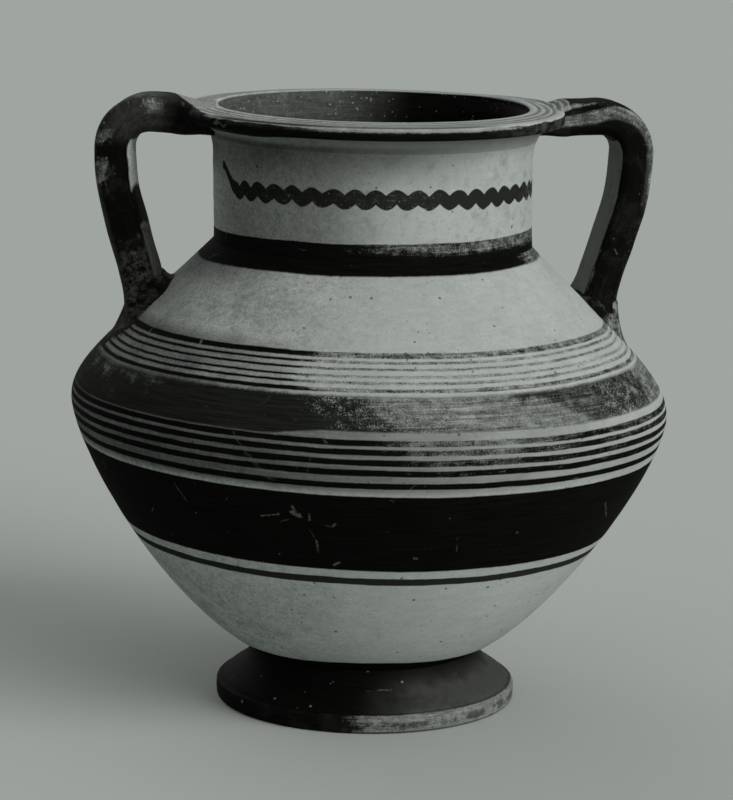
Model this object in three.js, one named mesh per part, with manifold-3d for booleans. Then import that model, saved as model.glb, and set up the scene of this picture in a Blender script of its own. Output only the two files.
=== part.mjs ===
// Amphora krater: a thrown clay vessel with a ring foot, a broad belly, an upright neck, a ledge rim
// and two strap handles. Millimetres, +Z up, standing on Z = 0 with its front towards -Y.
import * as THREE from "three";
import { mergeVertices } from "three/addons/utils/BufferGeometryUtils.js";
import Module from "manifold-3d";

const wasm = await Module();
wasm.setup();

// Driving dimensions, in millimetres and degrees

// Ring foot
const FOOT_RADIUS = 76.5;
const FOOT_EDGE_HEIGHT = 9.5;
const FOOT_EDGE_ROUND = 2.2;
const FOOT_REST_WIDTH = 13;
const FOOT_HEIGHT = 31;
const STEM_RADIUS = 57.5;
const STEM_WALL = 11;
const SLOPE_TURN_OVERHANG = 4.5;
const SLOPE_TURN_HEIGHT = 19.5;
const HOLLOW_TURN_HEIGHT = 7;

// Lower body, from its floor to the widest ring
const BOWL_JOINT_RADIUS = 60.5;
const FLOOR_DROP = 9.5;
const BOWL_PITCH = 27;
const BOWL_START_PULL = 51;
const BOWL_END_PULL = 21.5;
const BOWL_DEPTH = 122.5;
const BELLY_RADIUS = 150.5;

// Shoulder, from the widest ring in to the neck
const SHOULDER_RISE = 81;
const SHOULDER_PITCH = 45;
const SHOULDER_START_PULL = 17.5;
const SHOULDER_END_PULL = 65;

// Neck and rim
const NECK_RADIUS = 80;
const NECK_LENGTH = 53;
const RIM_RISE = 15;
const RIM_OVERHANG = 15.5;
const RIM_FLARE_HEIGHT = 6;
const LEDGE_WIDTH = 17.8;
const LEDGE_FALL = 1;
const LIP_THICKNESS = 7.2;
const LIP_ROUND = 2;

// Walls, and the luted joints between the thrown pieces
const BODY_WALL = 7.5;
const NECK_WALL = 7;
const LUTE_GAP = 0.3;
const KEY_HEIGHT = 1.5;
const KEY_WIDTH = 4;

// Strap handles: how far each laps over the ledge, rises above it and reaches beyond the lip, and how far
// its lower limb leans in; the two were set on by eye, so they differ a little
const HANDLE_WIDTH = 30;
const HANDLE_THICKNESS = 18;
const HANDLE_CORNER = 6;
const HANDLE_LAP = 7.5;
const HANDLE_CLIMB = 4;
const HANDLE_BEND_RADIUS = 18;
const HANDLE_SINK = 8;
const LEFT_AZIMUTH = 182.5;
const LEFT_REACH = 43;
const LEFT_CREST = 4.8;
const LEFT_LEAN = 12;
const RIGHT_AZIMUTH = 11.5;
const RIGHT_REACH = 47.5;
const RIGHT_CREST = 3.4;
const RIGHT_LEAN = 14;

// Clay smeared against the foot of each handle
const WAD_LENGTH = 16;
const WAD_SHIFT = 5;
const WAD_HALF_WIDTH = 25;
const WAD_HEIGHT = 5.5;
const WAD_SINK = 6;

// Fineness of the facets
const TURN_SEGMENTS = 48;
const BODY_STEPS = 8;
const CURVE_STEPS = 3;
const HANDLE_STEPS = 34;
const WAD_SEGMENTS = 20;
const ROOT_SAMPLES = 400;
const MERGE_DISTANCE = 1e-3;

// Heights of the joints, each stacked on the one below, and the rim's radius, from that of the neck
const bellyHeight = FOOT_HEIGHT + BOWL_DEPTH;
const neckBase = bellyHeight + SHOULDER_RISE;
const rimBase = neckBase + NECK_LENGTH;
const rimTop = rimBase + RIM_RISE;
const rimRadius = NECK_RADIUS + RIM_OVERHANG;

const point = (r, z) => new THREE.Vector2(r, z);
const radians = THREE.MathUtils.degToRad;
const heading = (degrees) => point(Math.cos(radians(degrees)), Math.sin(radians(degrees)));

// Joins runs of points end to end, leaving out the first point of a run where it repeats the last one
function chain(...runs) {
  const all = [];
  for (const run of runs) {
    for (const p of run) {
      const last = all[all.length - 1];
      if (!last || last.distanceTo(p) > MERGE_DISTANCE) all.push(p);
    }
  }
  return all;
}

// Moves a run of points sideways, to its right for a positive distance; points on the axis stay on it
function offset(points, distance) {
  const rightOf = (a, b) => {
    const along = b.clone().sub(a).normalize();
    return point(along.y, -along.x);
  };
  return points.map((p, i) => {
    const before = i > 0 ? rightOf(points[i - 1], p) : rightOf(p, points[i + 1]);
    const after = i < points.length - 1 ? rightOf(p, points[i + 1]) : before;
    const mitre = before.clone().add(after).multiplyScalar(distance / (1 + before.dot(after)));
    return point(p.x === 0 ? 0 : p.x + mitre.x, p.y + mitre.y);
  });
}

// The edge of a thrown wall from its outside to its inside, with the low ridge that keys the joint
function keyedEdge(outerRadius, innerRadius, height) {
  const middle = (outerRadius + innerRadius) / 2;
  return [
    point(outerRadius, height),
    point(middle + KEY_WIDTH / 2, height),
    point(middle, height + KEY_HEIGHT),
    point(middle - KEY_WIDTH / 2, height),
    point(innerRadius, height),
  ];
}

// A solid of revolution about Z from a profile of radius and height
function turned(profile) {
  return new THREE.LatheGeometry(profile, TURN_SEGMENTS).rotateX(Math.PI / 2);
}

function turnedRing(profile) {
  return turned([...profile, profile[0].clone()]);
}

// Outlines of the body, each running upwards on its outer face
const bowlJoint = point(BOWL_JOINT_RADIUS, FOOT_HEIGHT);
const belly = point(BELLY_RADIUS, bellyHeight);
const neckFoot = point(NECK_RADIUS, neckBase);

const floorHeight = FOOT_HEIGHT - FLOOR_DROP;
const floorTurn = point(BOWL_JOINT_RADIUS - FLOOR_DROP / Math.tan(radians(BOWL_PITCH)), floorHeight);
const floorCurve = new THREE.QuadraticBezierCurve(point(0, floorHeight), floorTurn, bowlJoint);

const bowlCurve = new THREE.CubicBezierCurve(
  bowlJoint,
  bowlJoint.clone().addScaledVector(heading(BOWL_PITCH), BOWL_START_PULL),
  point(BELLY_RADIUS, bellyHeight - BOWL_END_PULL),
  belly,
);

const shoulderCurve = new THREE.CubicBezierCurve(
  belly,
  point(BELLY_RADIUS, bellyHeight + SHOULDER_START_PULL),
  neckFoot.clone().addScaledVector(heading(-SHOULDER_PITCH), SHOULDER_END_PULL),
  neckFoot,
);

// The bowl's whole outer face, from the axis under its floor up to the widest ring
const bowlOutline = chain(floorCurve.getPoints(BODY_STEPS), bowlCurve.getPoints(BODY_STEPS));

function footGeometry() {
  const slopeEnd = point(FOOT_RADIUS - FOOT_EDGE_ROUND, FOOT_EDGE_HEIGHT);
  const restInner = FOOT_RADIUS - FOOT_REST_WIDTH;
  const stemInner = STEM_RADIUS - STEM_WALL;
  // The seat is the bowl's outer face, lowered by the gap, between the stem's two faces
  const seatHeight = (r) => {
    const i = bowlOutline.findIndex((p) => p.x >= r);
    const [a, b] = [bowlOutline[i - 1], bowlOutline[i]];
    return THREE.MathUtils.mapLinear(r, a.x, b.x, a.y, b.y) - LUTE_GAP;
  };
  const kinks = bowlOutline.filter((p) => p.x > stemInner && p.x < STEM_RADIUS);
  const seat = [
    point(STEM_RADIUS, seatHeight(STEM_RADIUS)),
    ...kinks.reverse().map((p) => point(p.x, p.y - LUTE_GAP)),
    point(stemInner, seatHeight(stemInner)),
  ];
  const edge = [
    point(restInner, 0),
    point(FOOT_RADIUS - FOOT_EDGE_ROUND, 0),
    point(FOOT_RADIUS, FOOT_EDGE_ROUND),
    point(FOOT_RADIUS, FOOT_EDGE_HEIGHT - FOOT_EDGE_ROUND),
    slopeEnd,
  ];
  const slopeTurn = point(STEM_RADIUS + SLOPE_TURN_OVERHANG, SLOPE_TURN_HEIGHT);
  const slope = new THREE.QuadraticBezierCurve(slopeEnd, slopeTurn, seat[0]);
  const hollow = new THREE.QuadraticBezierCurve(
    seat[seat.length - 1],
    point(stemInner, HOLLOW_TURN_HEIGHT),
    point(restInner, 0),
  );
  const hollowRun = hollow.getPoints(CURVE_STEPS).slice(0, -1);
  return turnedRing(chain(edge, slope.getPoints(CURVE_STEPS), seat, hollowRun));
}

function lowerBodyGeometry() {
  const inner = offset(bowlOutline, -BODY_WALL).slice(0, -1).reverse();
  const edge = keyedEdge(BELLY_RADIUS, BELLY_RADIUS - BODY_WALL, bellyHeight);
  return turned(chain(bowlOutline, edge, inner));
}

function shoulderGeometry() {
  const outer = shoulderCurve.getPoints(BODY_STEPS);
  const inner = offset(outer, -BODY_WALL).slice(1, -1).reverse();
  const top = keyedEdge(NECK_RADIUS, NECK_RADIUS - NECK_WALL, neckBase);
  const bottom = keyedEdge(BELLY_RADIUS, BELLY_RADIUS - BODY_WALL, bellyHeight + LUTE_GAP);
  return turnedRing(chain(outer.slice(1, -1), top, inner, bottom.reverse()));
}

function neckGeometry() {
  const top = keyedEdge(NECK_RADIUS, NECK_RADIUS - NECK_WALL, rimBase);
  const bottom = keyedEdge(NECK_RADIUS, NECK_RADIUS - NECK_WALL, neckBase + LUTE_GAP);
  return turnedRing(chain(top, bottom.reverse()));
}

// The rim's outer face, from the joint on the neck, under and round the lip and in along the ledge
function rimOutline() {
  const ledgeEdge = rimTop - LEDGE_FALL;
  const lipBottom = ledgeEdge - LIP_THICKNESS;
  const lipInner = rimRadius - LIP_ROUND;
  const start = point(NECK_RADIUS, rimBase + LUTE_GAP);
  const flareTurn = point(NECK_RADIUS, rimBase + RIM_FLARE_HEIGHT);
  const flare = new THREE.QuadraticBezierCurve(start, flareTurn, point(lipInner, lipBottom));
  const lip = [
    point(rimRadius, lipBottom + LIP_ROUND),
    point(rimRadius, ledgeEdge - LIP_ROUND),
    point(lipInner, ledgeEdge),
  ];
  return chain(flare.getPoints(CURVE_STEPS), lip, [point(rimRadius - LEDGE_WIDTH, rimTop)]);
}

function rimGeometry() {
  const outline = rimOutline();
  const mouth = outline[outline.length - 1];
  const throat = point(NECK_RADIUS - NECK_WALL, rimBase + LUTE_GAP);
  const inside = new THREE.QuadraticBezierCurve(mouth, point(throat.x, rimBase + RIM_FLARE_HEIGHT), throat);
  const bottom = keyedEdge(NECK_RADIUS, throat.x, rimBase + LUTE_GAP).reverse();
  return turnedRing(chain(outline, inside.getPoints(CURVE_STEPS), bottom.slice(0, -1)));
}

// Solids for the cuts, made of shared vertices
function toSolid(geometry) {
  const bare = geometry.clone();
  bare.deleteAttribute("normal");
  bare.deleteAttribute("uv");
  const merged = mergeVertices(bare, MERGE_DISTANCE);
  const mesh = new wasm.Mesh({
    numProp: 3,
    vertProperties: merged.attributes.position.array,
    triVerts: new Uint32Array(merged.index.array),
  });
  return new wasm.Manifold(mesh);
}

function toGeometry(solid) {
  const mesh = solid.getMesh();
  const geometry = new THREE.BufferGeometry();
  geometry.setAttribute("position", new THREE.BufferAttribute(mesh.vertProperties, 3));
  geometry.setIndex(new THREE.BufferAttribute(mesh.triVerts, 1));
  geometry.computeVertexNormals();
  return geometry;
}

// What a handle is fitted against, with the gap added: the shoulder and neck filled in to the axis, and the rim
function bodyKeepOut() {
  const neckTop = point(NECK_RADIUS, rimBase);
  const outer = offset(chain(shoulderCurve.getPoints(BODY_STEPS), [neckTop]), LUTE_GAP);
  return turned([point(0, bellyHeight), ...outer, point(0, rimBase)]);
}

function rimKeepOut() {
  return turnedRing(offset(rimOutline(), LUTE_GAP));
}

// A handle's centre line in its own upright plane, X outwards, and where its outer face meets the shoulder
function handleLayout(reach, crest, lean) {
  const half = HANDLE_THICKNESS / 2;
  const bend = point(
    rimRadius + reach - half - HANDLE_BEND_RADIUS,
    rimTop + crest - half - HANDLE_BEND_RADIUS,
  );
  const onBend = (degrees, radius) => bend.clone().addScaledVector(heading(degrees), radius);
  const upperWay = heading(HANDLE_CLIMB);
  const lowerWay = heading(-90 - lean);
  const bendStart = onBend(90 + HANDLE_CLIMB, HANDLE_BEND_RADIUS);
  const bendEnd = onBend(-lean, HANDLE_BEND_RADIUS);
  const outerEnd = onBend(-lean, HANDLE_BEND_RADIUS + half);
  const upperRun = (bendStart.x - (rimRadius - HANDLE_LAP)) / upperWay.x;
  const curve = shoulderCurve.getPoints(ROOT_SAMPLES);
  const rootStep = curve.findIndex((p) => p.clone().sub(outerEnd).cross(lowerWay) >= 0);
  const root = curve[rootStep];
  const lowerRun = root.distanceTo(outerEnd) + HANDLE_SINK;
  return {
    start: bendStart.clone().addScaledVector(upperWay, -upperRun),
    bendStart,
    bendEnd,
    end: bendEnd.clone().addScaledVector(lowerWay, lowerRun),
    upperWay,
    lowerWay,
    turn: radians(90 + HANDLE_CLIMB + lean),
    root,
    rootWay: shoulderCurve.getTangent(rootStep / ROOT_SAMPLES),
  };
}

function handlePath(layout) {
  const space = (p) => new THREE.Vector3(p.x, 0, p.y);
  const pull = (4 / 3) * Math.tan(layout.turn / 4) * HANDLE_BEND_RADIUS;
  const path = new THREE.CurvePath();
  path.add(new THREE.LineCurve3(space(layout.start), space(layout.bendStart)));
  path.add(
    new THREE.CubicBezierCurve3(
      space(layout.bendStart),
      space(layout.bendStart.clone().addScaledVector(layout.upperWay, pull)),
      space(layout.bendEnd.clone().addScaledVector(layout.lowerWay, -pull)),
      space(layout.bendEnd),
    ),
  );
  path.add(new THREE.LineCurve3(space(layout.bendEnd), space(layout.end)));
  return path;
}

// The strap with rounded edges; a positive growth makes the space that it needs
function strapGeometry(layout, growth) {
  const x = HANDLE_WIDTH / 2 + growth;
  const y = HANDLE_THICKNESS / 2 + growth;
  const corner = HANDLE_CORNER + growth;
  const section = new THREE.Shape();
  section.moveTo(x, corner - y);
  section.lineTo(x, y - corner);
  section.quadraticCurveTo(x, y, x - corner, y);
  section.lineTo(corner - x, y);
  section.quadraticCurveTo(-x, y, -x, y - corner);
  section.lineTo(-x, corner - y);
  section.quadraticCurveTo(-x, -y, corner - x, -y);
  section.lineTo(x - corner, -y);
  section.quadraticCurveTo(x, -y, x, corner - y);
  return new THREE.ExtrudeGeometry(section, {
    extrudePath: handlePath(layout),
    steps: HANDLE_STEPS,
    curveSegments: CURVE_STEPS,
    bevelEnabled: false,
  });
}

// The wad before it is cut: a low cake lying along the shoulder where the handle's outer face meets it
function wadBlank(layout) {
  const up = layout.rootWay;
  const outwards = point(up.y, -up.x);
  const centre = layout.root.clone().addScaledVector(up, -WAD_SHIFT).addScaledVector(outwards, -WAD_SINK);
  return new THREE.SphereGeometry(1, WAD_SEGMENTS, WAD_SEGMENTS / 2)
    .scale(WAD_LENGTH, WAD_HALF_WIDTH, WAD_HEIGHT + WAD_SINK)
    .rotateY(Math.atan2(up.y, -up.x))
    .translate(centre.x, 0, centre.y);
}

const CLAY = { color: 0x9a9f9b, roughness: 0.72, metalness: 0 };
const PAINT = { color: 0x1b1c18, roughness: 0.6, metalness: 0 };

function piece(name, geometry, finish) {
  const mesh = new THREE.Mesh(geometry, new THREE.MeshStandardMaterial(finish));
  mesh.name = name;
  return mesh;
}

// A handle and its wad in a group turned to where they stand round the vessel
function handleGroup(side, azimuth, layout) {
  const turn = radians(azimuth);
  const body = toSolid(bodyKeepOut().rotateZ(-turn));
  const rim = toSolid(rimKeepOut().rotateZ(-turn));
  const strap = toSolid(strapGeometry(layout, 0)).subtract(body).subtract(rim);
  const strapRoom = toSolid(strapGeometry(layout, LUTE_GAP));
  const wad = toSolid(wadBlank(layout)).subtract(strapRoom).subtract(body);
  const group = new THREE.Group();
  group.rotation.z = turn;
  group.add(piece(`${side}_handle`, toGeometry(strap), PAINT));
  group.add(piece(`${side}_root_wad`, toGeometry(wad), PAINT));
  return group;
}

const krater = new THREE.Group();
krater.add(piece("foot", footGeometry(), PAINT));
krater.add(piece("lower_body", lowerBodyGeometry(), CLAY));
krater.add(piece("shoulder", shoulderGeometry(), CLAY));
krater.add(piece("neck", neckGeometry(), CLAY));
krater.add(piece("rim", rimGeometry(), PAINT));
krater.add(handleGroup("left", LEFT_AZIMUTH, handleLayout(LEFT_REACH, LEFT_CREST, LEFT_LEAN)));
krater.add(handleGroup("right", RIGHT_AZIMUTH, handleLayout(RIGHT_REACH, RIGHT_CREST, RIGHT_LEAN)));

export default krater;
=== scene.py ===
"""Amphora krater: a thrown and painted clay vessel, built round its packed frame."""
from bisect import bisect_left
from itertools import chain
from math import atan2, cos, exp, pi, radians, sin, tan, tau

import bmesh
import bpy
from bpy.props import FloatProperty, FloatVectorProperty, PointerProperty
from mathutils import Matrix, Vector, noise
from mathutils.geometry import interpolate_bezier, intersect_line_line_2d


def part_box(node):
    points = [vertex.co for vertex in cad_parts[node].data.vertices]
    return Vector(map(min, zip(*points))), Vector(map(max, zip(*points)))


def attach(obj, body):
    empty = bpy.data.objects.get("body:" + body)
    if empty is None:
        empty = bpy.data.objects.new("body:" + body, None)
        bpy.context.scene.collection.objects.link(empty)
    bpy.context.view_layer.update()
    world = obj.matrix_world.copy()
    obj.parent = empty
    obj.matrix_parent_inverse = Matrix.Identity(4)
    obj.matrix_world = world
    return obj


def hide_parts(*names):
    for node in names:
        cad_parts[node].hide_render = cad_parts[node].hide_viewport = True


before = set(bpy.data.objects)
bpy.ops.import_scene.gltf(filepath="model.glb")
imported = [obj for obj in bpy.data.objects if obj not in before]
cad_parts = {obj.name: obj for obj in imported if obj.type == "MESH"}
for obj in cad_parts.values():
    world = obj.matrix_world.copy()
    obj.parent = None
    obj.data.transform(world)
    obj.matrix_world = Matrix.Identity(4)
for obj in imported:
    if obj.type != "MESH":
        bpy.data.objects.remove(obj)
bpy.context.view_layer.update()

bl_info = {
    "name": "Amphora Krater",
    "version": (1, 0, 0),
    "blender": (4, 5, 0),
    "location": "3D View > Sidebar > Krater",
    "description": "Builds a thrown clay vessel with painted lines and two strap handles",
    "category": "Object",
}

MM = 0.001

# Joints of the packed pieces, without the gap between them
LUTE_GAP = 0.3 * MM
FOOT_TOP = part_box("foot")[1].z
BELLY_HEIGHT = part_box("shoulder")[0].z - LUTE_GAP
NECK_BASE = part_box("neck")[0].z - LUTE_GAP
RIM_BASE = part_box("rim")[0].z - LUTE_GAP
RIM_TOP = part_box("rim")[1].z

# Faces round a turned piece, the distance at which points count as one, and the angle of a sharp edge
BODY_FACES = 192
RIM_FACES = 288
MERGE_DISTANCE = 1e-6
CREASE = radians(40)

# Foot: each pair is a way in and a height, the shelf's above the upright edge
FOOT_ROUND = 2.2 * MM
FOOT_SHELF = (2.64 * MM, 0.2 * MM)
SLOPE_OUTER = (6 * MM, 15.2 * MM)
SLOPE_INNER = (0.5 * MM, 18 * MM)
STEM_LAP = 0.4 * MM
STEM_WALL = 11 * MM
REST_WIDTH = 13 * MM
REST_ROUND = 1.5 * MM
HEEL = (1 * MM, 1.2 * MM)
HOLLOW_DROP = 4.5 * MM
HOLLOW_TURN = 7 * MM
EDGE_SWELL = 0.2 * MM

# Bowl and shoulder: how far their curves are pulled out
FLOOR_DROP = 9.5 * MM
FLOOR_PULL = 18.6 * MM
BOWL_PULL = (44.4 * MM, 25.2 * MM)
BELLY_PULL = 21.5 * MM
SHOULDER_PULL = 17.5 * MM
COLLAR_PULL = 45.96 * MM
FILLET_DROP = 0.6 * MM
FILLET_RISE = 1 * MM

# Neck and rim
NECK_WAIST = 0.5 * MM
NECK_TURN = 9 * MM
NECK_PULL = (0.1 * MM, 3 * MM)
RIM_FLARE = 1.9 * MM
FLARE_PULL = (3.6 * MM, 5.8 * MM)
LIP_DROP = 7.3 * MM
LIP_ROUND = 2 * MM
LEDGE_FALL = 1 * MM
LEDGE_DIP = (8 * MM, 0.2 * MM)
BRINK_ROUND = 1.6 * MM
MOUTH_EDGE = (0.5 * MM, 1.4 * MM)
THROAT_TURN = 6 * MM

# The rim's set on the neck: its lift, its rise per metre along X and Y, and the heights that ease it in
RIM_LIFT = 0.65 * MM
RIM_TIP = (-0.005, 0.0144)
TIP_HEIGHTS = (250 * MM, 288 * MM)

# The pull that raised the rim behind the right handle: height, place, spread, and the radii that ease it in
PULL_RISE = 1.3 * MM
PULL_TURN = radians(30)
PULL_SPREAD = radians(20)
PULL_RADII = (115 * MM, 97 * MM)

# Marks of hand and kiln on the body: wheel rings, lumps, and the belly's sag about its middle
RING_DEPTH = 0.12 * MM
RINGS_PER_METRE = 130
LUMP_DEPTH = 0.35 * MM
LUMPS_PER_METRE = 16
LUMP_SHIFT = 5
SAG_MIDDLE = 0.15
SAG_REACH = 0.08
SAG_REACH_ABOVE = 0.115

# Straps: stations along each stretch, section, and how they grow into the rim and the shoulder
UPPER_STEPS = 30
BEND_STEPS = 24
EASE_STEPS = 16
LOWER_STEPS = 44
STRAP_FACES = 48
STRAP_SQUARENESS = 0.5
STRAP_START = 79 * MM
STRAP_SINK = 13 * MM
STRAP_SEARCH = 0.2
STRAP_LUMP = 0.5 * MM
STRAP_LUMPS_PER_METRE = 60
THICKENING = (0.02, 0.07)
RIM_STRETCH = 0.04
UNDERCUT = 2 * MM
UNDERCUT_RADII = (2 * MM, -12 * MM)
WEB_RADII = (14 * MM, -8 * MM)
WEB_POWER = 1.5
BACK_WEB = 4 * MM
ROOT_RUN = 14 * MM
ROOT_THICKENING = 2 * MM
ROOT_WIDENING = 4 * MM
TWIST_RUN = (15 * MM, 50 * MM)

# Clay smeared at a strap's foot: a square patch of the shoulder, moved down it, with lumps
SMEAR_STEPS = 72
SMEAR_HALF = 36 * MM
SMEAR_SHIFT = 9 * MM
SMEAR_BEHIND = 0.35
SMEAR_LUMP = 0.7 * MM
SMEAR_LUMPS_PER_METRE = 90
SMEAR_RAGGED = 0.25
SMEAR_SINK = 0.5 * MM
SMEAR_THICKNESS = 2.5 * MM

# Camera: lens and sensor in millimetres, place in metres, turns in degrees
LENS = 136.35
SENSOR = 36
CAMERA_PLACE = (0, -1.513, 0.436)
CAMERA_TURN = 0.05
CAMERA_FALL = 10.58
CAMERA_ROLL = 0.9

# Lamps and room: degrees from the front and above the floor, the lamps' spread, the floor and the wall
KEY_WAY = (54, 22)
BACK_WAY = (-150, 30)
LAMP_SPREAD = 46
FLOOR_RADIUS = 40
FLOOR_ROUGHNESS = 0.95
SKY_TINT = (0.98, 1.0, 0.985)
WALL_SHARE = 0.70

# Painted lines of the body from the top down: middle and width in millimetres, and how much is rubbed off
UPPER_LINES = (
    (196.40, 2.2, 0.40),
    (193.55, 1.1, 0.46),
    (190.85, 1.0, 0.48),
    (187.90, 1.0, 0.50),
    (185.35, 1.1, 0.50),
    (182.35, 1.6, 0.42),
)
LOWER_LINES = (
    (160.90, 2.6, 0.44),
    (156.80, 2.7, 0.40),
    (152.00, 2.9, 0.30),
    (147.00, 3.0, 0.12),
    (140.60, 3.0, 0.04),
)
MATT_BAND = (165.6, 180.2)
BLACK_BAND = (94.5, 135.2)
THIN_LINE = (88.3, 3.7)
NECK_BAND = (229.2, 243.6)
LEDGE_RINGS = ((90.15, 2.0), (86.7, 2.2), (82.7, 2.0))
STRAP_RINGS = ((97.0, 2.2), (93.6, 2.2), (90.2, 2.2))

# The wavy line: middle in millimetres; its start, the tail before it, its end and one half wave in degrees
WAVE_MIDDLE = 264.8
WAVE_START = -57.0
WAVE_TAIL = 15
WAVE_END = 312
HALF_WAVE = 7.43

# Places of the straps' feet on the shoulder for the paint round them: degrees from the front, height
ROOT_TURNS = (-87.5, 101.5)
ROOT_HEIGHT = 195

# Old scratches through the body's paint: degrees from the front and height at both ends, half width, strength
MARKS = (
    (-25.0, 161.2, -21.8, 151.6, 0.40, 0.30),
    (-21.8, 151.6, -18.6, 142.4, 1.10, 0.20),
    (-18.9, 142.6, -17.2, 141.6, 1.40, 0.24),
    (-8.0, 161.4, -6.4, 158.4, 0.35, 0.30),
    (-10.2, 152.9, -10.9, 144.6, 0.28, 0.16),
    (-14.2, 127.6, -13.4, 123.6, 0.60, 0.24),
    (-14.4, 124.6, -12.9, 122.8, 1.10, 0.26),
    (-11.0, 124.0, -11.1, 121.2, 0.55, 0.22),
    (-11.2, 116.0, -10.2, 110.2, 0.25, 0.14),
    (-10.2, 110.2, -10.0, 104.0, 0.40, 0.22),
    (-20.8, 121.0, -17.2, 123.0, 0.40, 0.26),
    (-16.9, 119.0, -15.3, 120.7, 0.30, 0.14),
    (-39.4, 130.6, -37.8, 122.4, 0.35, 0.18),
    (-6.9, 97.6, -5.9, 98.6, 0.70, 0.28),
    (10.0, 102.9, 10.5, 102.4, 0.60, 0.30),
    (31.7, 113.5, 31.9, 113.2, 0.45, 0.35),
    (56.0, 121.0, 60.5, 112.0, 0.40, 0.18),
    (-62.4, 196.4, -62.0, 195.4, 0.80, 0.40),
    (-42.4, 196.8, -41.9, 195.2, 0.90, 0.40),
)
MARK_SOFT = 0.3
BELLY_MM_PER_DEGREE = 2.44

# Degrees from the front at which stains and painted shade start at the left, and wear fades at the right and
# the back
STAIN_AND_SHADE_START = -112
RIGHT_FADE = (150, 120)
BACK_FADE = (172, 140)

# Brush strokes: steps per radian of the turn and per metre of height; along, out and across a strap
BRUSH_TURNS = 130
BRUSH_HEIGHTS = 1000
STRAP_STROKE = (165, 9, 15)

# Surface: roughness of bare clay and of the body, how much smoother paint is, relief and its depths
CLAY_ROUGHNESS = 0.86
BODY_ROUGHNESS = 0.8
PAINT_SMOOTHNESS = 0.2
SPECULAR = 0.02
BUMP_STRENGTH = 0.55
WALL_RELIEF = 0.35 * MM
STRAP_RELIEF = 0.6 * MM


# Sizes and colours to change

def length(name, description, default):
    """A size in metres."""
    return FloatProperty(name=name, description=description, default=default, unit="LENGTH")


def lengths(name, description, *default):
    """Two or three sizes in metres."""
    size = len(default)
    return FloatVectorProperty(name=name, description=description, default=default, size=size, unit="LENGTH")


def angle(name, description, degrees):
    """An angle, given in degrees."""
    return FloatProperty(name=name, description=description, default=radians(degrees), subtype="ANGLE")


def colour(name, description, *default):
    """A colour."""
    return FloatVectorProperty(name=name, description=description, default=default, subtype="COLOR")


def strength(name, description, default):
    """The strength of a light."""
    return FloatProperty(name=name, description=description, default=default)


class KraterBody(bpy.types.PropertyGroup):
    """Sizes of the thrown pieces."""

    foot_radius: length("Foot radius", "Outer radius of the ring foot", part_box("foot")[1].x)
    foot_edge: length("Foot edge", "Height of the foot's upright edge", 9.5 * MM)
    stem_radius: length("Stem radius", "Radius under the bowl", 57.5 * MM)
    joint_radius: length("Bowl joint radius", "Radius at which the bowl leaves the stem", 61.5 * MM)
    joint_height: length("Bowl joint height", "Height at which the bowl leaves the stem", 29 * MM)
    belly_radius: length("Belly radius", "Radius of the widest ring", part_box("lower_body")[1].x)
    neck_radius: length("Neck radius", "Outer radius of the neck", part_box("neck")[1].x)
    rim_radius: length("Rim radius", "Outer radius of the lip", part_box("rim")[1].x)
    ledge_width: length("Ledge width", "Width of the flat ledge inside the lip", 17.8 * MM)
    body_wall: length("Body wall", "Thickness of the thrown wall", 7.5 * MM)
    neck_wall: length("Neck wall", "Thickness of the neck's wall", 7 * MM)
    sag: angle("Sag", "How far the belly leans to one side", 1.4)


class KraterHandles(bpy.types.PropertyGroup):
    """Sizes of the strap handles and of the clay smeared at their roots."""

    width: length("Width", "Width of a strap", 30 * MM)
    left_thickness: length("Left thickness", "Thickness of the left strap near the rim", 19.0 * MM)
    right_thickness: length("Right thickness", "Thickness of the right strap near the rim", 17.4 * MM)
    lower_thickness: length("Lower thickness", "Thickness above the root", 18.6 * MM)
    bend_radius: length("Bend radius", "Radius of the bend's middle line", 18 * MM)
    ease_radius: length("Ease radius", "Radius by which the limb leans in below the bend", 110 * MM)
    climb: angle("Climb", "Rise of the upper limb", 4)
    left_azimuth: angle("Left azimuth", "Place of the left handle", 182.5)
    right_azimuth: angle("Right azimuth", "Place of the right handle", 11.5)
    left_bend: lengths("Left bend", "Radius and height of the left bend's centre", 110.7 * MM, 279.6 * MM)
    right_bend: lengths("Right bend", "Radius and height of the right bend's centre", 116 * MM, 278.9 * MM)
    left_lean: angle("Left lean", "Lean of the left lower limb", 15.5)
    right_lean: angle("Right lean", "Lean of the right lower limb", 18)
    left_twist: angle("Left twist", "Turn of the left strap about its own length", 7)
    right_twist: angle("Right twist", "Turn of the right strap about its own length", 0)
    left_lap: lengths(
        "Left lap", "Radii between which the left strap's top sinks, and its rise above the ledge",
        104 * MM, 84 * MM, 0.6 * MM)
    right_lap: lengths(
        "Right lap", "Radii between which the right strap's top sinks, and its rise above the ledge",
        100 * MM, 90 * MM, -0.8 * MM)
    left_web: length("Left web", "Clay drawn out along the lip in front of the left strap", 14 * MM)
    right_web: length("Right web", "Clay drawn out along the lip in front of the right strap", 3 * MM)
    smear_height: length("Smear height", "How high the smeared clay climbs the strap", 15 * MM)
    smear_reach: length("Smear reach", "How far the smeared clay runs down the shoulder", 24 * MM)


class KraterFinish(bpy.types.PropertyGroup):
    """Colours of the clay and the paints."""

    clay: colour("Clay", "Bare fired clay", 0.335, 0.358, 0.338)
    black_paint: colour("Black paint", "Paint of the lines and the broad band", 0.0027, 0.0030, 0.0023)
    matt_paint: colour("Matt paint", "Thin paint of the worn band", 0.011, 0.012, 0.010)
    inside_paint: colour("Inside paint", "Wash on the inside of the neck", 0.046, 0.048, 0.043)


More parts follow.
